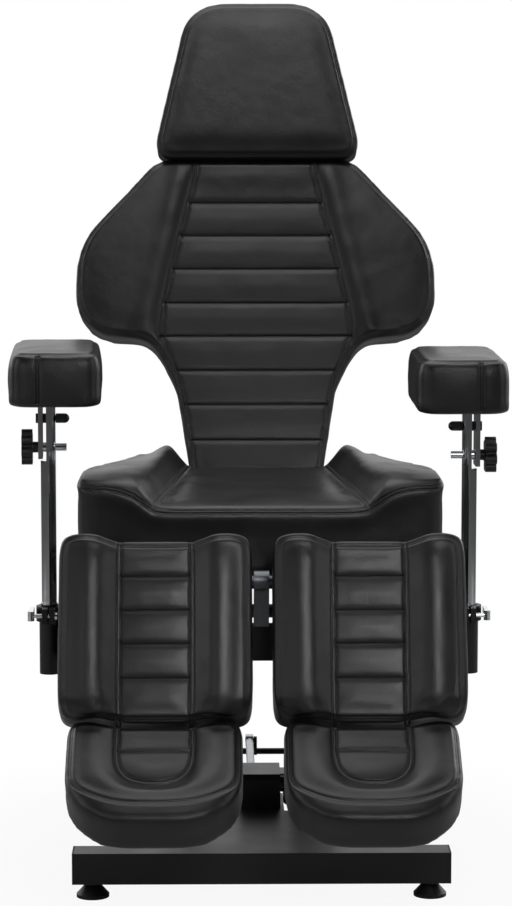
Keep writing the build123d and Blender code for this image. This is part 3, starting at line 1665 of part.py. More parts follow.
def main():
    os.makedirs("parts", exist_ok=True)
    leg_tube = (leg_spring_seat_pin, leg_spring_leg_pin, leg_spring_x)
    pieces = {
        "base_frame": base_frame(),
        "base_caps": base_caps(),
        "lower_pivot_pins": lower_pins(),
        "level_foot_left": levelling_foot(-foot_x),
        "level_foot_right": levelling_foot(foot_x),
        "pump_unit": pump_unit(),
        "pump_plunger": pump_plunger(),
        "oil_hose": oil_hose(),
        "pedal_bar": pedal_bar(),
        "inner_arms": inner_arms(),
        "outer_arms": outer_arms(),
        "centre_pins": centre_pins(),
        "upper_rollers": upper_rollers(),
        "lower_roller_left": left(lower_roller()),
        "lower_roller_right": lower_roller(),
        "lift_cylinder": lift_cylinder(),
        "lift_ram": lift_ram(),
        "seat_frame": seat_frame(),
        "upper_pivot_pins": upper_pins(),
        "hinge_shafts": hinge_shafts(),
        "clamp_collars": group(both_sides(clamp_collar())),
        "clamp_bolts": group(both_sides(clamp_bolt())),
        "clamp_lever_left": left(clamp_lever()),
        "clamp_lever_right": clamp_lever(),
        "seat_board": seat_board(),
        "seat_cushion": seat_cushion(),
        "back_frame": back_frame(),
        "back_board": back_board(),
        "back_cushion": back_cushion(),
        "back_spring_tube": spring_tube(
            back_spring_seat_pin,
            back_spring_back_pin,
            0,
            back_spring_tube_length,
            back_spring_radius,
            back_spring_rod_radius,
        ),
        "back_spring_rod": spring_rod(
            back_spring_back_pin,
            back_spring_seat_pin,
            0,
            back_spring_rod_length,
            back_spring_rod_radius,
            back_spring_radius - spring_wall,
        ),
        "head_rods": head_rods(),
        "head_plate": head_plate(),
        "head_cushion": head_cushion(),
    }
    leg_pieces = {
        "leg_frame": leg_frame(),
        "calf_pad": calf_pad(),
        "leg_spring_tube": spring_tube(*leg_tube, leg_spring_tube_length, leg_spring_radius, leg_spring_rod_radius),
        "leg_spring_rod": spring_rod(
            leg_spring_leg_pin,
            leg_spring_seat_pin,
            leg_spring_x,
            leg_spring_rod_length,
            leg_spring_rod_radius,
            leg_spring_radius - spring_wall,
        ),
        "foot_rods": foot_rods(),
        "foot_tray": foot_tray(),
        "foot_pad": foot_pad(),
    }
    for name, shape in leg_pieces.items():
        pieces[name + "_right"] = shape
        pieces[name + "_left"] = left(shape)
    arm_pieces = {
        "arm_bush": arm_bush(),
        "arm_post": arm_post(),
        "arm_bolts": arm_bolts(),
        "arm_bracket": arm_bracket(),
        "arm_pad": arm_pad(),
        "arm_knob": lobed_knob(),
    }
    for name, shape in arm_pieces.items():
        pieces[name + "_right"] = right_arm(shape)
        pieces[name + "_left"] = left_arm(shape)
    for name, shape in pieces.items():
        export_step(shape, "parts/" + name + ".step")


if __name__ == "__main__":
    main()
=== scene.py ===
import json
import math

import bmesh
import bpy
import numpy as np
from mathutils import Matrix, Vector, noise
from mathutils.bvhtree import BVHTree
from mathutils.kdtree import KDTree


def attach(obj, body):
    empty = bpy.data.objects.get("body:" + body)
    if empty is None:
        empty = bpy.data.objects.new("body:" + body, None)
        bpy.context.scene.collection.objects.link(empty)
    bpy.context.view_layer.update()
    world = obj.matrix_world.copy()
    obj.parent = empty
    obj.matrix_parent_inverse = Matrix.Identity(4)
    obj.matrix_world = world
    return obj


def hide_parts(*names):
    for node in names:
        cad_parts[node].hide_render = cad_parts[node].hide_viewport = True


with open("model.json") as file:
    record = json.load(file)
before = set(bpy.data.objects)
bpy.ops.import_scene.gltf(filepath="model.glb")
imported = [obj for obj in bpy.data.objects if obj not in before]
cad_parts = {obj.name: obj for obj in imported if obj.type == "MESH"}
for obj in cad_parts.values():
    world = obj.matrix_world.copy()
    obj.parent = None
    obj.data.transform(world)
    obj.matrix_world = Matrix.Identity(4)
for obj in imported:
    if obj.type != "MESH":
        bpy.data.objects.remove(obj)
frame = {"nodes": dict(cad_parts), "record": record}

# Tattoo client chair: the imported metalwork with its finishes, and upholstery made over the cushion solids.
# Each cushion is filled by a cloth simulation, and its seams are pressed in afterwards.
# Sizes are in millimetres where a comment or name says so, and MM turns them to metres.
MM = 0.001
NODES = frame["nodes"]
SCENE = bpy.context.scene
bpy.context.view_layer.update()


# Materials

def linear(code):
    """Linear colour of an sRGB hex value."""
    parts = [int(code[i:i + 2], 16) / 255 for i in (0, 2, 4)]
    return [p / 12.92 if p <= 0.04045 else ((p + 0.055) / 1.055) ** 2.4 for p in parts] + [1.0]


def add(tree, kind, inputs=None, **settings):
    """Adds a node, sets it up, and links or sets its inputs."""
    made = tree.nodes.new(kind)
    for name, value in settings.items():
        setattr(made, name, value)
    for key, value in (inputs or {}).items():
        if isinstance(value, bpy.types.NodeSocket):
            tree.links.new(value, made.inputs[key])
        else:
            made.inputs[key].default_value = value
    return made


def per_mm(size):
    """Texture scale whose cells are that many millimetres wide."""
    return 1 / (size * MM)


def blank(name):
    material = bpy.data.materials.new(name)
    material.use_nodes = True
    material.node_tree.nodes.clear()
    tree = material.node_tree
    return material, tree, add(tree, "ShaderNodeTexCoord").outputs["Object"]


def close(tree, shader):
    add(tree, "ShaderNodeOutputMaterial", {"Surface": shader})


def grained(name, dark, light, grain, height, rough, metallic=0.0, patch=60, edge=0.0):
    """Finish with a fine grain: two colours that drift in patches, and roughness that follows the grain."""
    material, tree, place = blank(name)
    patches = add(tree, "ShaderNodeTexNoise", {"Vector": place, "Scale": per_mm(patch), "Detail": 3.0})
    speck = add(tree, "ShaderNodeTexNoise", {"Vector": place, "Scale": per_mm(grain), "Detail": 2.0})
    share = add(tree, "ShaderNodeMath", {0: patches.outputs[0], 1: speck.outputs[0]}, operation="MULTIPLY")
    colour = add(tree, "ShaderNodeMix", {
        0: share.outputs[0], 6: linear(dark), 7: linear(light),
    }, data_type="RGBA")
    gloss = add(tree, "ShaderNodeMapRange", {
        "Value": share.outputs[0], "From Min": 0.1, "From Max": 0.45, "To Min": rough[0], "To Max": rough[1],
    })
    bump_inputs = {"Height": speck.outputs[0], "Distance": height * MM, "Strength": 1.0}
    if edge:
        bump_inputs["Normal"] = add(tree, "ShaderNodeBevel", {"Radius": edge * MM}, samples=4).outputs[0]
    bump = add(tree, "ShaderNodeBump", bump_inputs)
    shader = add(tree, "ShaderNodeBsdfPrincipled", {
        "Base Color": colour.outputs[2], "Metallic": metallic, "Roughness": gloss.outputs[0],
        "Normal": bump.outputs[0],
    })
    close(tree, shader.outputs[0])
    return material


def embossed_vinyl(name, grain, crease):
    """Polyurethane-coated upholstery vinyl, embossed with a calf grain: black, satin, softly creased."""
    material, tree, place = blank(name)
    # the real grain is under 1 mm across, drawn coarser so that it shows in the render
    pebbles = add(tree, "ShaderNodeTexVoronoi", {
        "Vector": place, "Scale": per_mm(grain),
    }, feature="DISTANCE_TO_EDGE")
    valley = add(tree, "ShaderNodeMapRange", {"Value": pebbles.outputs[0], "From Min": 0.0, "From Max": 0.22})
    fine = add(tree, "ShaderNodeTexNoise", {"Vector": place, "Scale": per_mm(grain / 2), "Detail": 2.0})
    folds = add(tree, "ShaderNodeTexNoise", {
        "Vector": place, "Scale": per_mm(48), "Detail": 4.0, "Roughness": 0.55, "Distortion": 1.0,
    })
    centred = add(tree, "ShaderNodeMath", {0: folds.outputs[0], 1: 0.5}, operation="SUBTRACT")
    line = add(tree, "ShaderNodeMath", {0: centred.outputs[0]}, operation="ABSOLUTE")
    fold = add(tree, "ShaderNodeMapRange", {"Value": line.outputs[0], "From Min": 0.0, "From Max": 0.05})
    cloud = add(tree, "ShaderNodeTexNoise", {"Vector": place, "Scale": per_mm(90), "Detail": 4.0})
    colour = add(tree, "ShaderNodeMix", {
        0: cloud.outputs[0], 6: linear("0c0c0d"), 7: linear("171718"),
    }, data_type="RGBA")
    gloss = add(tree, "ShaderNodeMapRange", {
        "Value": cloud.outputs[0], "From Min": 0.3, "From Max": 0.7, "To Min": 0.33, "To Max": 0.43,
    })
    soft = add(tree, "ShaderNodeBump", {"Height": fold.outputs[0], "Distance": crease * MM, "Strength": 0.5})
    grain_height = add(tree, "ShaderNodeMath", {0: valley.outputs[0], 1: fine.outputs[0]}, operation="ADD")
    bump = add(tree, "ShaderNodeBump", {
        "Height": grain_height.outputs[0], "Distance": 0.055 * MM, "Strength": 1.0, "Normal": soft.outputs[0],
    })
    shader = add(tree, "ShaderNodeBsdfPrincipled", {
        "Base Color": colour.outputs[2], "Roughness": gloss.outputs[0], "IOR": 1.5, "Specular IOR Level": 0.5,
        "Normal": bump.outputs[0],
    })
    close(tree, shader.outputs[0])
    return material


def bright_chrome(name, colour, rough, brush):
    """Chromium plate on drawn steel: mirror bright, with faint drawing lines and a breath of haze."""
    material, tree, place = blank(name)
    stretched = add(tree, "ShaderNodeMapping", {"Vector": place, "Scale": (1.0, 1.0, 0.04)})
    lines = add(tree, "ShaderNodeTexNoise", {
        "Vector": stretched.outputs[0], "Scale": per_mm(brush), "Detail": 2.0,
    })
    haze = add(tree, "ShaderNodeTexNoise", {"Vector": place, "Scale": per_mm(45), "Detail": 3.0})
    share = add(tree, "ShaderNodeMath", {0: lines.outputs[0], 1: haze.outputs[0]}, operation="MULTIPLY")
    gloss = add(tree, "ShaderNodeMapRange", {
        "Value": share.outputs[0], "From Min": 0.1, "From Max": 0.45, "To Min": rough[0], "To Max": rough[1],
    })
    tint = add(tree, "ShaderNodeMix", {
        0: haze.outputs[0], 6: linear(colour), 7: linear("f0f2f4"),
    }, data_type="RGBA")
    bump = add(tree, "ShaderNodeBump", {"Height": lines.outputs[0], "Distance": 0.004 * MM, "Strength": 1.0})
    shader = add(tree, "ShaderNodeBsdfPrincipled", {
        "Base Color": tint.outputs[2], "Metallic": 1.0, "Roughness": gloss.outputs[0],
        "Normal": bump.outputs[0],
    })
    close(tree, shader.outputs[0])
    return material


def capped_bolt(name, split):
    """Chromed bolts of an armrest. Above the height split, in metres, they wear a moulded black dome cap."""
    material, tree, place = blank(name)
    height = add(tree, "ShaderNodeSeparateXYZ", {"Vector": place}).outputs["Z"]
    upper = add(tree, "ShaderNodeMath", {0: height, 1: split}, operation="GREATER_THAN")
    haze = add(tree, "ShaderNodeTexNoise", {"Vector": place, "Scale": per_mm(6), "Detail": 3.0})
    colour = add(tree, "ShaderNodeMix", {
        0: upper.outputs[0], 6: linear("d4d7da"), 7: linear("121213"),
    }, data_type="RGBA")
    metal = add(tree, "ShaderNodeMath", {0: 1.0, 1: upper.outputs[0]}, operation="SUBTRACT")
    base = add(tree, "ShaderNodeMath", {0: upper.outputs[0], 1: 0.28}, operation="MULTIPLY")
    gloss = add(tree, "ShaderNodeMath", {
        0: haze.outputs[0], 1: 0.2, 2: base.outputs[0],
    }, operation="MULTIPLY_ADD")
    shader = add(tree, "ShaderNodeBsdfPrincipled", {
        "Base Color": colour.outputs[2], "Metallic": metal.outputs[0], "Roughness": gloss.outputs[0],
    })
    close(tree, shader.outputs[0])
    return material


def dust_cover(name):
    """Spun polypropylene dust cover stapled over birch ply: matt black, with a dimpled bond pattern."""
    material, tree, place = blank(name)
    dimples = add(tree, "ShaderNodeTexVoronoi", {"Vector": place, "Scale": per_mm(3), "Randomness": 0.2})
    fibres = add(tree, "ShaderNodeTexNoise", {
        "Vector": place, "Scale": per_mm(1.5), "Detail": 3.0, "Distortion": 1.0,
    })
    colour = add(tree, "ShaderNodeMix", {
        0: fibres.outputs[0], 6: linear("0b0b0c"), 7: linear("1d1d1f"),
    }, data_type="RGBA")
    bump = add(tree, "ShaderNodeBump", {"Height": dimples.outputs[0], "Distance": 0.25 * MM, "Strength": 0.7})
    gloss = add(tree, "ShaderNodeMapRange", {"Value": fibres.outputs[0], "To Min": 0.7, "To Max": 0.95})
    shader = add(tree, "ShaderNodeBsdfPrincipled", {
        "Base Color": colour.outputs[2], "Roughness": gloss.outputs[0], "Normal": bump.outputs[0],
    })
    close(tree, shader.outputs[0])
    return material


vinyl = embossed_vinyl("upholstery_vinyl", grain=2.0, crease=0.1)
# polyester thread, a little lighter than the vinyl, its twist under a pixel wide
thread = grained(
    "polyester_thread", "2a2a2b", "5c5c5e", grain=0.8, height=0.05, rough=(0.45, 0.6), patch=8,
)
# thermoset powder coat: satin black with a fine orange peel, drawn 1.6 mm wide
powder = grained(
    "black_powder_coat", "0a0a0b", "161618", grain=1.6, height=0.03, rough=(0.38, 0.5), edge=1.2,
)
# gloss black enamel on the cylinder and the spring tubes
enamel = grained(
    "black_enamel", "09090a", "161617", grain=3.0, height=0.01, rough=(0.16, 0.24), edge=0.8,
)
# glass-filled nylon, spark-eroded mould grain
nylon = grained(
    "moulded_nylon", "0d0d0e", "1d1d1f", grain=1.2, height=0.03, rough=(0.42, 0.55), edge=0.8,
)
# oil-resistant rubber with a dull bloom
rubber = grained(
    "black_rubber", "0c0c0c", "1b1b1b", grain=2.0, height=0.04, rough=(0.6, 0.8), edge=0.8,
)
# zinc plate over turned steel: grey, faintly mottled
zinc = grained(
    "zinc_plated_steel", "8d9196", "d0d4d8", grain=1.4, height=0.01, rough=(0.24, 0.4),
    metallic=1.0, patch=18, edge=0.6,
)
# bare mild steel with mill finish, oiled
mill = grained(
    "oiled_mild_steel", "55585c", "8a8e93", grain=1.8, height=0.02, rough=(0.34, 0.5),
    metallic=1.0, patch=22, edge=0.6,
)
chrome = bright_chrome("chromium_plate", "d6d9dc", rough=(0.05, 0.14), brush=1.1)
cover = dust_cover("dust_cover")

FINISHES = {
    "black_frame": powder,
    "bright_steel": zinc,
    "grey_steel": mill,
    "chrome": chrome,
    "black_rubber": rubber,
    "black_plastic": nylon,
    "black_leather": vinyl,
    "plywood": cover,
}
OWN_FINISH = {
    "lift_cylinder": enamel,
    "back_spring_tube": enamel,
    "leg_spring_tube_left": enamel,
    "leg_spring_tube_right": enamel,
    "level_foot_left": nylon,
    "level_foot_right": nylon,
    "arm_bolts_left": capped_bolt("bolts_left", split=0.712),
    "arm_bolts_right": capped_bolt("bolts_right", split=0.698),
}


def finish_nodes():
    """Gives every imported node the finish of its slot, or its own."""
    slots = {row["node"]: row["material_slot"] for row in frame["record"]["subparts"]}
    for name, node in NODES.items():
        material = OWN_FINISH.get(name) or FINISHES[slots.get(name, "black_frame")]
        node.data.materials.clear()
        node.data.materials.append(material)
        for polygon in node.data.polygons:
            polygon.material_index = 0


finish_nodes()


# Camera, light and floor

LENS = 116.0
CAMERA_PLACE = (-0.072, -4.792, 1.264)
CAMERA_DIP = 6.99
CAMERA_TURN = 0.8


def photo_camera():
    """Long lens, a little above the seat, at the photograph's angle."""
    data = bpy.data.cameras.new("camera")
    data.sensor_width = 36.0
    data.lens = LENS
    data.clip_end = 100.0
    camera = bpy.data.objects.new("camera", data)
    SCENE.collection.objects.link(camera)
    camera.location = CAMERA_PLACE
    camera.rotation_euler = (math.radians(90 - CAMERA_DIP), 0, math.radians(-CAMERA_TURN))
    SCENE.camera = camera


# name, place and aim in metres, width, height, watts, and the spread in degrees where it is narrow
LAMPS = (
    ("above_head", (0.0, -0.6, 2.5), (0.0, 0.5, 1.3), 1.2, 0.7, 9),
    ("above_seat", (0.0, 0.5, 2.3), (0.0, 0.0, 0.6), 1.6, 0.8, 10),
    ("leg_key", (0.5, -2.4, 1.5), (0.0, -0.35, 0.5), 0.7, 0.6, 1.0, 35),
    ("leg_fill", (-1.2, -2.0, 1.1), (-0.1, -0.3, 0.4), 0.7, 0.7, 3),
    ("rim_right", (2.0, 1.4, 1.6), (0.0, 0.0, 0.9), 0.8, 1.8, 14),
    ("rim_left", (-2.0, 1.4, 1.6), (0.0, 0.0, 0.9), 0.8, 1.8, 7),
    ("side_right", (2.8, -1.0, 1.6), (0.0, 0.0, 0.8), 0.9, 2.0, 12),
    ("side_left", (-2.8, -1.0, 1.6), (0.0, 0.0, 0.8), 0.9, 2.0, 12),
)
# how bright the wall behind the chair, the room before it and the floor look in a reflection
WALL_GLOW = 1.0
ROOM_GLOW = 0.02
FLOOR_GLOW = 0.12
AMBIENT = 0.05


def softbox(name, place, aim, width, height, power, spread=180):
    """Rectangular studio lamp that faces a point, with a grid where its spread is narrow."""
    data = bpy.data.lights.new(name, "AREA")
    data.shape = "RECTANGLE"
    data.size = width
    data.size_y = height
    data.energy = power
    data.spread = math.radians(spread)
    lamp = bpy.data.objects.new(name, data)
    SCENE.collection.objects.link(lamp)
    lamp.location = place
    lamp.rotation_euler = (Vector(aim) - Vector(place)).to_track_quat("-Z", "Y").to_euler()


def reflected(tree, path):
    """1 on the rays that mirror or pass light, else 0."""
    return add(tree, "ShaderNodeMath", {
        0: path.outputs["Is Glossy Ray"], 1: path.outputs["Is Transmission Ray"],
    }, operation="MAXIMUM").outputs[0]


def white_room():
    """Surroundings that the camera sees white, with the bright wall behind the chair."""
    world = bpy.data.worlds.new("studio")
    SCENE.world = world
    world.use_nodes = True
    tree = world.node_tree
    tree.nodes.clear()
    path = add(tree, "ShaderNodeLightPath")
    ray = add(tree, "ShaderNodeTexCoord").outputs["Generated"]
    depth = add(tree, "ShaderNodeSeparateXYZ", {"Vector": ray}).outputs["Y"]
    wall = add(tree, "ShaderNodeMapRange", {
        "Value": depth, "From Min": 0.0, "From Max": 0.6, "To Min": ROOM_GLOW, "To Max": WALL_GLOW,
    }, interpolation_type="SMOOTHSTEP")
    seen = add(tree, "ShaderNodeMix", {
        0: reflected(tree, path), 2: AMBIENT, 3: wall.outputs[0],
    }, data_type="FLOAT")
    level = add(tree, "ShaderNodeMix", {
        0: path.outputs["Is Camera Ray"], 2: seen.outputs[0], 3: 1.0,
    }, data_type="FLOAT")
    light = add(tree, "ShaderNodeBackground", {"Color": linear("ffffff"), "Strength": level.outputs[0]})
    add(tree, "ShaderNodeOutputWorld", {"Surface": light.outputs[0]})


def paper_floor():
    """White paper that shows the chair's shadow close to it, and nothing further away."""
    bm = bmesh.new()
    bmesh.ops.create_grid(bm, x_segments=1, y_segments=1, size=30.0)
    mesh = bpy.data.meshes.new("floor")
    bm.to_mesh(mesh)
    bm.free()
    floor = bpy.data.objects.new("floor", mesh)
    SCENE.collection.objects.link(floor)
    material, tree, place = blank("studio_paper")
    path = add(tree, "ShaderNodeLightPath")
    away = add(tree, "ShaderNodeVectorMath", {0: place}, operation="LENGTH")
    near = add(tree, "ShaderNodeMapRange", {
        "Value": away.outputs["Value"], "From Min": 0.3, "From Max": 0.9, "To Min": 0.08, "To Max": 0.0,
    }, interpolation_type="SMOOTHSTEP")
    dim = add(tree, "ShaderNodeMath", {0: reflected(tree, path), 1: FLOOR_GLOW}, operation="MULTIPLY")
    glow = add(tree, "ShaderNodeMath", {
        0: path.outputs["Is Camera Ray"], 1: dim.outputs[0],
    }, operation="MAXIMUM")
    paper = add(tree, "ShaderNodeBsdfDiffuse", {"Color": linear("f2f2f2")})
    white = add(tree, "ShaderNodeEmission", {"Color": linear("ffffff"), "Strength": glow.outputs[0]})
    shaded = add(tree, "ShaderNodeMixShader", {0: near.outputs[0], 1: white.outputs[0], 2: paper.outputs[0]})
    bounce = add(tree, "ShaderNodeMixShader", {0: glow.outputs[0], 1: paper.outputs[0], 2: shaded.outputs[0]})
    close(tree, bounce.outputs[0])
    mesh.materials.append(material)


def studio():
    white_room()
    paper_floor()
    for lamp in LAMPS:
        softbox(*lamp)
    SCENE.view_settings.view_transform = "Standard"


photo_camera()
studio()


# Upholstery

def face_frame(x, y, z, lean):
    """Frame of a cushion in metres: X across, Y up its face, Z out of its face."""
    turn = math.radians(lean)
    axes = Matrix((
        (1, 0, 0),
        (0, math.sin(turn), -math.cos(turn)),
        (0, math.cos(turn), math.sin(turn)),
    )).to_4x4()
    axes.translation = Vector((x, y, z)) * MM
    return axes


def link(name, mesh):
    piece = bpy.data.objects.new(name, mesh)
    SCENE.collection.objects.link(piece)
    return piece


def apply_modifiers(piece):
    graph = bpy.context.evaluated_depsgraph_get()
    made = bpy.data.meshes.new_from_object(piece.evaluated_get(graph))
    piece.modifiers.clear()
    piece.data = made


def spots(mesh):
    flat = np.empty(len(mesh.vertices) * 3)
    mesh.vertices.foreach_get("co", flat)
    return flat.reshape(-1, 3)


def facing(mesh):
    flat = np.empty(len(mesh.vertices) * 3)
    mesh.vertices.foreach_get("normal", flat)
    return flat.reshape(-1, 3)


def move_to(mesh, place):
    mesh.vertices.foreach_set("co", place.ravel())
    mesh.update()


def in_frame(place, axes):
    """Places in millimetres in a cushion's own frame."""
    return (place - np.array(axes.translation)) @ np.array(axes.to_3x3()) / MM


def ramp(value, start, end):
    """Soft step from 0 to 1."""
    share = np.clip((value - start) / (end - start), 0, 1)
    return share * share * (3 - 2 * share)


def reshape(piece, axes, form):
    """Moves the points of a cushion by millimetres across, up and out of its face."""
    place = spots(piece.data)
    shift = np.stack(np.broadcast_arrays(*form(*in_frame(place, axes).T)), axis=1)
    move_to(piece.data, place + shift @ np.array(axes.to_3x3()).T * MM)


def relax(mesh, rounds):
    """Smooths a mesh a few times over."""
    bm = bmesh.new()
    bm.from_mesh(mesh)
    for _ in range(rounds):
        bmesh.ops.smooth_vert(
            bm, verts=bm.verts, factor=0.5, use_axis_x=True, use_axis_y=True, use_axis_z=True,
        )
    bm.to_mesh(mesh)
    bm.free()


def foam_copy(name, node, voxel):
    """Evenly meshed copy of a cushion solid."""
    mesh = NODES[node].data.copy()
    bm = bmesh.new()
    bm.from_mesh(mesh)
    bmesh.ops.remove_doubles(bm, verts=bm.verts, dist=0.01 * MM)
    bm.to_mesh(mesh)
    bm.free()
    mesh.materials.clear()
    piece = link(name, mesh)
    remesh = piece.modifiers.new("even", "REMESH")
    remesh.mode = "VOXEL"
    remesh.voxel_size = voxel * MM
    apply_modifiers(piece)
    relax(piece.data, 9)
    return piece


def evened(mesh, amount, rounds=30):
    """Amounts at a mesh's points, averaged with their neighbours', so that the cover lies without waves."""
    ends = np.empty(len(mesh.edges) * 2, np.int32)
    mesh.edges.foreach_get("vertices", ends)
    first, second = ends.reshape(-1, 2).T
    count = np.bincount(ends, minlength=len(amount))
    for _ in range(rounds):
        total = np.bincount(first, amount[second], len(amount))
        total = total + np.bincount(second, amount[first], len(amount))
        amount = (amount + total / np.maximum(count, 1)) / 2
    return amount


PRESSURE = 4.0
LAST_MOMENT = 20


def inflate(piece, most):
    """Fills the cover with cloth simulation. Gives how far each point swells, most millimetres at most."""
    start, normal = spots(piece.data), facing(piece.data)
    cloth = piece.modifiers.new("fill", "CLOTH")
    settings = cloth.settings
    settings.quality = 4
    settings.mass = 0.3
    settings.use_pressure = True
    settings.uniform_pressure_force = PRESSURE
    settings.effector_weights.gravity = 0.0
    settings.tension_stiffness = 12
    settings.compression_stiffness = 12
    settings.shear_stiffness = 6
    settings.bending_stiffness = 1.0
    cloth.collision_settings.use_collision = False
    for moment in range(1, LAST_MOMENT + 1):
        SCENE.frame_set(moment)
    graph = bpy.context.evaluated_depsgraph_get()
    shape = piece.evaluated_get(graph).to_mesh()
    end = spots(shape)
    piece.evaluated_get(graph).to_mesh_clear()
    piece.modifiers.clear()
    SCENE.frame_set(1)
    swell = np.clip(((end - start) * normal).sum(1), 0.0, most * MM)
    return normal * evened(piece.data, swell)[:, None]


def spaced(points, step, closed=False):
    """The line through the points, cut into even steps."""
    line = np.array(points, float)
    if closed:
        line = np.vstack([line, line[:1]])
    runs = np.linalg.norm(np.diff(line, axis=0), axis=1)
    along = np.concatenate([[0.0], np.cumsum(runs)])
    count = max(2, int(round(along[-1] / step)) + 1)
    marks = np.linspace(0.0, along[-1], count)
    return np.stack([np.interp(marks, along, line[:, k]) for k in range(line.shape[1])], axis=1)


def eased(points, rounds=3):
    """Line with its corners cut, its ends kept."""
    line = np.array(points, float)
    for _ in range(rounds):
        first = line[:-1] * 0.75 + line[1:] * 0.25
        second = line[:-1] * 0.25 + line[1:] * 0.75
        inner = np.stack([first, second], axis=1).reshape(-1, line.shape[1])
        line = np.vstack([line[:1], inner, line[-1:]])
    return line


def tree_of(piece):
    bm = bmesh.new()
    bm.from_mesh(piece.data)
    tree = BVHTree.FromBMesh(bm)
    bm.free()
    return tree


def drawn_on(tree, axes, points, step=2.0):
    """Line in millimetres on a cushion's face, dropped on to the cushion."""
    out = (axes.to_3x3() @ Vector((0, 0, 1))).normalized()
    found = []
    for u, v in spaced(points, step):
        hit = tree.ray_cast(axes @ Vector((u * MM, v * MM, 0.2)), -out)[0]
        if hit is not None:
            found.append(hit)
    return np.array(found)


def laid_on(tree, points, step=2.0):
    """Line in millimetres near a cushion, moved to its nearest surface."""
    return np.array([tree.find_nearest(Vector(p) * MM)[0] for p in spaced(points, step)])


def edge_line(tree, axes, middle, depth, inset, draw_in=0.0):
    """Closed line round a cushion's face, inside its edge, and further inside at its lower end."""
    back = axes.inverted()
    ring = []
    for step in range(240):
        turn = math.tau * step / 240
        ray = Vector((math.cos(turn), math.sin(turn), 0))
        start = Vector((middle[0] * MM, middle[1] * MM, -depth * MM)) + ray
        hit = tree.ray_cast(axes @ start, axes.to_3x3() @ -ray)[0]
        if hit is not None:
            local = back @ hit
            ring.append((local.x / MM, local.y / MM))
    ring = spaced(ring, 4.0, closed=True)[:-1]
    for _ in range(3):
        ring = (np.roll(ring, 1, 0) + ring * 2 + np.roll(ring, -1, 0)) / 4
    tangent = np.roll(ring, -1, 0) - np.roll(ring, 1, 0)
    tangent /= np.linalg.norm(tangent, axis=1, keepdims=True)
    inner = ring + np.stack([-tangent[:, 1], tangent[:, 0]], axis=1) * inset
    inner[:, 1] += draw_in * ramp(inner[:, 1], middle[1], inner[:, 1].min())
    inner = np.vstack([inner, inner[:1]])
    return drawn_on(tree, axes, inner)


def near_lines(place, lines):
    """Distance in millimetres from each place to the nearest line, and how far along that line it is."""
    starts, ends, marks = [], [], []
    for line in lines:
        starts.append(line[:-1])
        ends.append(line[1:])
        runs = np.linalg.norm(np.diff(line, axis=0), axis=1)
        marks.append(np.concatenate([[0.0], np.cumsum(runs)[:-1]]))
    starts, ends, marks = np.vstack(starts), np.vstack(ends), np.concatenate(marks)
    lookup = KDTree(len(starts))
    for index, middle in enumerate((starts + ends) / 2):
        lookup.insert(middle, index)
    lookup.balance()
    nearest = np.array([lookup.find(p)[1] for p in place])
    first, run = starts[nearest], ends[nearest] - starts[nearest]
    share = np.clip(((place - first) * run).sum(1) / np.maximum((run * run).sum(1), 1e-12), 0, 1)
    gap = np.linalg.norm(place - first - run * share[:, None], axis=1)
    return gap / MM, (marks[nearest] + share * np.linalg.norm(run, axis=1)) / MM


def finer(piece, lines, reach):
    """Halves the mesh near the seams, so that they stay crisp."""
    if not lines:
        return
    gap, _ = near_lines(spots(piece.data), lines)
    bm = bmesh.new()
    bm.from_mesh(piece.data)
    close_by = gap < reach
    edges = [e for e in bm.edges if close_by[e.verts[0].index] and close_by[e.verts[1].index]]
    bmesh.ops.subdivide_edges(bm, edges=edges, cuts=1, use_grid_fill=True)
    bm.to_mesh(piece.data)
    bm.free()


# Seams, in millimetres: how deep each valley or how high each roll is, and then its half width
DOUBLE_VALLEY = (1.6, 7.0)
DOUBLE_NEEDLE = (2.0, 1.1)
CHANNEL_VALLEY = (1.7, 5.5)
CHANNEL_NEEDLE = (2.0, 1.4)
WELT_CORD = (1.2, 1.2)
WELT_VALLEY = (3.4, 3.8)
WELT_ROLL = (2.8, 10.0)
RIDGE = (4.6, 18.0)
PUCKER = (0.8, 17.0)
# the two rows of a double seam lie this far from its middle
ROW_OFFSET = 2.9
SEWN = ("double", "channel", "welt")


def bell(gap, height, width):
    """Soft bump over a line, by the distance from it."""
    return height * np.exp(-(gap / width) ** 2)


def uneven(point):
    """Slow unevenness of foam under its cover."""
    return noise.noise(Vector(point) / (45 * MM)) + 0.5 * noise.noise(Vector(point) / (19 * MM))


def sew(piece, seams):
    """Presses the seams into a cushion. seams maps each kind to its lines."""
    mesh = piece.data
    place, normal = spots(mesh), facing(mesh)
    rise = np.zeros(len(place))
    for kind, lines in seams.items():
        gap, along = near_lines(place, lines)
        if kind == "double":
            rise -= bell(gap, *DOUBLE_VALLEY) + bell(np.abs(gap) - ROW_OFFSET, *DOUBLE_NEEDLE)
        elif kind == "channel":
            rise -= bell(gap, *CHANNEL_VALLEY) + bell(gap, *CHANNEL_NEEDLE)
        elif kind == "welt":
            rise += bell(gap, *WELT_CORD) - bell(gap, *WELT_VALLEY) + bell(gap, *WELT_ROLL)
        elif kind == "ridge":
            rise += bell(gap, *RIDGE)
        elif kind == "pucker":
            ripple = np.sin(along * math.tau / 11.0 + 1.7 * np.sin(along / 23.0))
            rise += ripple * bell(gap, *PUCKER)
    rise += 0.4 * np.array([uneven(point) for point in place])
    move_to(mesh, place + normal * rise[:, None] * MM)


def sewn(seams, kinds):
    return [line for kind in kinds for line in seams.get(kind, [])]


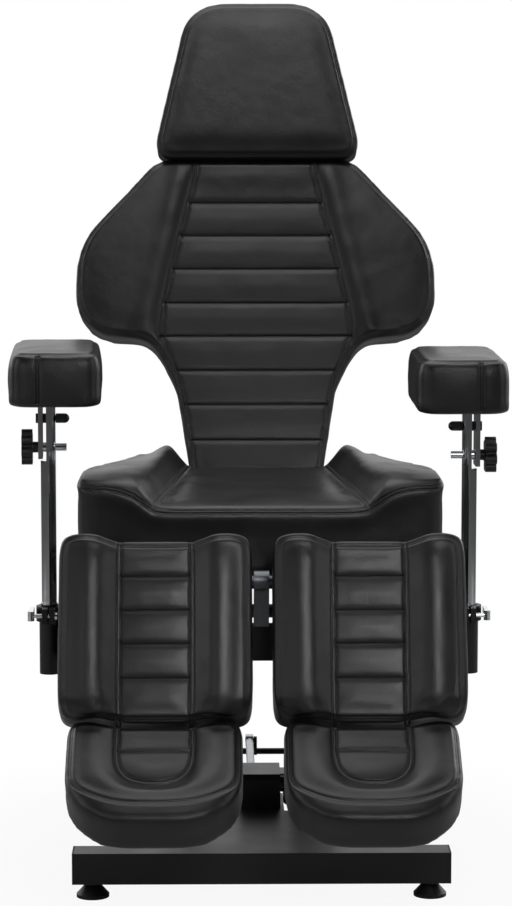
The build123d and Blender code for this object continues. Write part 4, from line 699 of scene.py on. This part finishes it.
def fill_out(piece, seams, shrink, most, axes, back_at):
    """Swells a cushion between its seams, the side that lies on its board held flat."""
    mesh = piece.data
    place = spots(mesh)
    out = in_frame(place, axes)[:, 2]
    share = np.clip((out + back_at) / 25.0, 0, 1)
    gap, _ = near_lines(place, sewn(seams, ("double", "welt")))
    share *= 1 - bell(gap, 1.0, 20.0)
    if "channel" in seams:
        gap, _ = near_lines(place, seams["channel"])
        share *= 1 - bell(gap, 0.75, 40.0)
    move_to(mesh, place - facing(mesh) * (share * shrink * MM)[:, None])
    shift = inflate(piece, most)
    move_to(mesh, spots(mesh) + shift * share[:, None])
    relax(mesh, 2)


def refine(piece):
    finish = piece.modifiers.new("finish", "SUBSURF")
    finish.levels = finish.render_levels = 1
    apply_modifiers(piece)


def smooth_faces(mesh):
    mesh.polygons.foreach_set("use_smooth", [True] * len(mesh.polygons))
    mesh.update()


# stitch rows, in millimetres: places beside the seam, pitch, stitch length and thread radius
TWIN_ROWS = ((-ROW_OFFSET, ROW_OFFSET), 4.6, 3.0, 0.55)
WIDE_ROWS = ((-4.5, 4.5), 4.6, 3.0, 0.55)
SINGLE_ROW = ((0.0,), 4.0, 2.6, 0.35)
STITCH_LIFT = 0.3


def stitches(name, tree, lines, offsets, pitch, length, radius):
    """Rows of thread beside the seams, each stitch a little proud of the cover."""
    bm = bmesh.new()
    for line in lines:
        row = spaced(line, pitch * MM)
        for before, here, after in zip(row, row[1:], row[2:]):
            run = Vector(after - before).normalized()
            up = tree.find_nearest(Vector(here))[1]
            side = up.cross(run).normalized()
            for offset in offsets:
                spot, up_there = tree.find_nearest(Vector(here) + side * offset * MM)[:2]
                turn = Matrix((run, up_there.cross(run).normalized(), up_there)).transposed().to_4x4()
                size = Matrix.Diagonal((length * MM / 2, radius * MM, radius * MM, 1.0))
                bmesh.ops.create_uvsphere(
                    bm, u_segments=6, v_segments=4, radius=1.0,
                    matrix=Matrix.Translation(spot + up_there * STITCH_LIFT * MM) @ turn @ size,
                )
    mesh = bpy.data.meshes.new(name)
    bm.to_mesh(mesh)
    bm.free()
    smooth_faces(mesh)
    mesh.materials.append(thread)
    return link(name, mesh)


def upholster(piece, node, body):
    """Gives a finished cushion its vinyl and smooth faces, sets it on its body, and hides its solid."""
    if not piece.data.materials:
        piece.data.materials.append(vinyl)
    smooth_faces(piece.data)
    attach(piece, body)
    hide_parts(node)


def trim(piece, body):
    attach(piece, body)


def other_side(piece, name, place=None):
    """Copy of a piece mirrored across the chair, and then moved."""
    mesh = piece.data.copy()
    bm = bmesh.new()
    bm.from_mesh(mesh)
    bmesh.ops.transform(bm, matrix=(place or Matrix()) @ Matrix.Diagonal((-1, 1, 1, 1)), verts=bm.verts)
    bmesh.ops.reverse_faces(bm, faces=bm.faces)
    bm.to_mesh(mesh)
    bm.free()
    smooth_faces(mesh)
    return link(name, mesh)


def cushion(name, node, axes, draw, form=None, *, voxel, shrink, most, back_at):
    """Makes a cushion from its solid, with sizes in millimetres.

    draw gives its seams on a surface, and form how the cover pulls its foam. The foam shrinks by shrink,
    swells by most at the most, and is held flat at back_at behind its face.
    """
    piece = foam_copy(name, node, voxel)
    if form:
        reshape(piece, axes, form)
    seams = draw(tree_of(piece))
    fill_out(piece, seams, shrink, most, axes, back_at)
    refine(piece)
    seams = draw(tree_of(piece))
    finer(piece, sewn(seams, SEWN), 6.5)
    finer(piece, sewn(seams, ("double", "channel")), 4.5)
    sew(piece, seams)
    return piece, seams


# Backrest: a panel of eight channels between double seams that flare to the widest row

BACK = face_frame(0, 283, 616, 20)
BACK_SEAM = [
    (107, 556), (107, 532), (132, 431), (156, 330), (172, 252),
    (158, 212), (139, 168), (127, 122), (116, 40), (113, -70),
]
BACK_SWELL = [(132, 545), (157, 435), (181, 334), (200, 262)]
# height of each channel and half its width
BACK_CHANNELS = [
    (487, 117), (426, 132), (364, 147), (301, 162), (240, 170), (177, 141), (115, 126), (51, 117),
]


def back_seams(tree):
    right = eased(BACK_SEAM, 2)
    left = right * np.array([-1, 1])
    double = [drawn_on(tree, BACK, right), drawn_on(tree, BACK, left)]
    channels = [drawn_on(tree, BACK, [(-half, along), (half, along)]) for along, half in BACK_CHANNELS]
    swell = np.array(BACK_SWELL)
    ridges = [drawn_on(tree, BACK, swell), drawn_on(tree, BACK, swell * np.array([-1, 1]))]
    welt = edge_line(tree, BACK, (0, 300), depth=38, inset=6)
    return {"double": double, "channel": channels, "welt": [welt], "ridge": ridges}


def back_form(u, v, w):
    """Wings lifted by the pull of their cover, and a full upper edge."""
    wing = ramp(np.abs(u), 140, 200) * ramp(v, 120, 230) * (1 - ramp(v, 480, 560))
    return 0, 4 * wing + 4 * ramp(v, 500, 565), 0


back, seams = cushion(
    "back_upholstery", "back_cushion", BACK, back_seams, back_form,
    voxel=8, shrink=4, most=7, back_at=68,
)
surface = tree_of(back)
trim(stitches("back_stitches", surface, seams["double"], *TWIN_ROWS), "back")
trim(stitches("back_channel_stitches", surface, seams["channel"], *SINGLE_ROW), "back")
upholster(back, "back_cushion", "back")


# Headrest: one plain panel inside a welted edge

HEAD = face_frame(0, 459, 1154, 16)


def head_seams(tree):
    return {"welt": [edge_line(tree, HEAD, (0, 150), depth=30, inset=6)]}


def head_form(u, v, w):
    """A full lower edge, which rests on the back's, and the cover pulled a little to one side."""
    return 4, -3 * (1 - ramp(v, 0, 50)), 0


head, seams = cushion(
    "head_upholstery", "head_cushion", HEAD, head_seams, head_form,
    voxel=6, shrink=4, most=8, back_at=60,
)
upholster(head, "head_cushion", "head")


# Seat: a sunk panel between two raised bolsters, with a front seam that follows them

SEAT = face_frame(0, -202, 606, 90)
SEAT_FRONT = [
    (-295, -203, 650), (-262, -206, 652), (-232, -208, 648), (-204, -208, 635), (-178, -208, 620),
    (-150, -207, 616), (0, -207, 615), (150, -207, 616), (178, -208, 620), (204, -208, 635),
    (232, -208, 648), (262, -206, 652), (295, -203, 650),
]
SEAT_SIDE = [(295, -190, 652), (295, -80, 656), (287, -50, 658), (216, 238, 662)]


def seat_seams(tree):
    panel = np.array([(169, 4), (117, 462)])
    lines = [drawn_on(tree, SEAT, panel), drawn_on(tree, SEAT, panel * np.array([-1, 1]))]
    front = laid_on(tree, eased(SEAT_FRONT, 2))
    side = eased(SEAT_SIDE, 2)
    sides = [laid_on(tree, side), laid_on(tree, side * np.array([-1, 1, 1]))]
    inside = panel - np.array([12, 0])
    creases = [drawn_on(tree, SEAT, inside), drawn_on(tree, SEAT, inside * np.array([-1, 1]))]
    return {"double": lines + [front], "welt": sides, "pucker": creases}


def seat_form(u, v, w):
    """Panel and front crowned, and full sides."""
    side = ramp(np.abs(u), 150, 195)
    high = ramp(w, -60, -10)
    rise = 9 * (1 - side) + side * (9 - 9 * ramp(v, 20, 300) - 13 * ramp(v, 150, 430))
    return 3 * np.sign(u) * ramp(np.abs(u), 200, 290), 0, high * rise


seat, seams = cushion(
    "seat_upholstery", "seat_cushion", SEAT, seat_seams, seat_form,
    voxel=8, shrink=5, most=9, back_at=103,
)
surface = tree_of(seat)
trim(stitches("seat_stitches", surface, seams["double"], *TWIN_ROWS), "seat")
upholster(seat, "seat_cushion", "seat")


# Leg rests: calf pads with raised sides and four channels

CALF = face_frame(165, -342, 586, 20)


def calf_seams(tree):
    sides = [drawn_on(tree, CALF, [(x, 6), (x, -286)]) for x in (-55.5, 55.5)]
    rows = [drawn_on(tree, CALF, [(-51, v), (51, v)]) for v in (-57, -110, -162, -215)]
    return {"double": sides, "channel": rows, "welt": [edge_line(tree, CALF, (0, -146), depth=38, inset=9)]}


def calf_form(u, v, w):
    """Bolsters that stand higher than the panel at the upper edge, and swell out of the face."""
    horn = ramp(np.abs(u), 55, 100)
    swell = ramp(np.abs(u), 58, 102) * (1 - ramp(np.abs(u), 108, 151)) * ramp(w, -40, -10)
    corner = ramp(np.abs(u), 60, 140) * ramp(v, -200, -270) * ramp(w, -12, -40)
    low = 15 * corner - 8 * ramp(v, -190, -285) * (1 - horn / 2) * ramp(w, -60, -20)
    return 0, 12 * horn * ramp(v, -70, -5) - low, 6 * swell


calf, seams = cushion(
    "calf_upholstery_right", "calf_pad_right", CALF, calf_seams, calf_form,
    voxel=6, shrink=2, most=9, back_at=76,
)
surface = tree_of(calf)
calf_thread = stitches("calf_stitches_right", surface, seams["double"], *TWIN_ROWS)
calf_rows = stitches("calf_channel_stitches_right", surface, seams["channel"], *SINGLE_ROW)
for part, name in ((calf_thread, "calf_stitches"), (calf_rows, "calf_channel_stitches")):
    trim(other_side(part, name + "_left"), "leg_left")
    trim(part, "leg_right")
upholster(other_side(calf, "calf_upholstery_left"), "calf_pad_left", "leg_left")
upholster(calf, "calf_pad_right", "leg_right")


# Foot rests: pads with a U-shaped double seam and one channel

FOOT = face_frame(165, -443.9, 306.0, 58)
FOOT_SEAM = [
    (-57, 9), (-57, -52), (-53, -78), (-40, -96), (-18, -104), (0, -105),
    (18, -104), (40, -96), (53, -78), (57, -52), (57, 9),
]


def foot_seams(tree):
    u_seam = drawn_on(tree, FOOT, eased(FOOT_SEAM, 2))
    row = drawn_on(tree, FOOT, [(-52, -38), (52, -40)])
    welt = edge_line(tree, FOOT, (0, -90), depth=34, inset=8, draw_in=27)
    return {"double": [u_seam], "channel": [row], "welt": [welt]}


def foot_form(u, v, w):
    """Raised corners at the upper edge, beside the calf pad's bowed end."""
    return 0, (6 + 9 * ramp(np.abs(u), 50, 105)) * ramp(v, -60, 5), 0


foot, seams = cushion(
    "foot_upholstery_right", "foot_pad_right", FOOT, foot_seams, foot_form,
    voxel=6, shrink=2, most=9, back_at=66,
)
surface = tree_of(foot)
foot_thread = stitches("foot_stitches_right", surface, seams["double"], *TWIN_ROWS)
foot_rows = stitches("foot_channel_stitches_right", surface, seams["channel"], *SINGLE_ROW)
for part, name in ((foot_thread, "foot_stitches"), (foot_rows, "foot_channel_stitches")):
    trim(other_side(part, name + "_left"), "foot_rest_left")
    trim(part, "foot_rest_right")
upholster(other_side(foot, "foot_upholstery_left"), "foot_pad_left", "foot_rest_left")
upholster(foot, "foot_pad_right", "foot_rest_right")


# Armrests: boxed pads with a welted top and a stitched join down the front

ARM = face_frame(327, -6, 843, 90)
# the left armrest stands 14 mm higher and is turned about its post
LEFT_ARM = (
    Matrix.Translation((-0.357, 0.008, 0.012)) @ Matrix.Rotation(math.radians(2.2), 4, "Z")
    @ Matrix.Translation((0.349, -0.008, 0))
)


def arm_seams(tree):
    join = [tree.ray_cast(Vector((0.354, -0.4, z * MM)), Vector((0, 1, 0)))[0] for z in range(764, 838, 2)]
    join = np.array([p for p in join if p is not None])
    return {"double": [join], "welt": [edge_line(tree, ARM, (0, 0), depth=40, inset=11)]}


arm, seams = cushion(
    "arm_upholstery_right", "arm_pad_right", ARM, arm_seams,
    voxel=6, shrink=2, most=5, back_at=84,
)
arm_thread = stitches("arm_stitches_right", tree_of(arm), seams["double"], *WIDE_ROWS)
trim(other_side(arm_thread, "arm_stitches_left", LEFT_ARM), "armrest_left")
trim(arm_thread, "armrest_right")
upholster(other_side(arm, "arm_upholstery_left", LEFT_ARM), "arm_pad_left", "armrest_left")
upholster(arm, "arm_pad_right", "armrest_right")
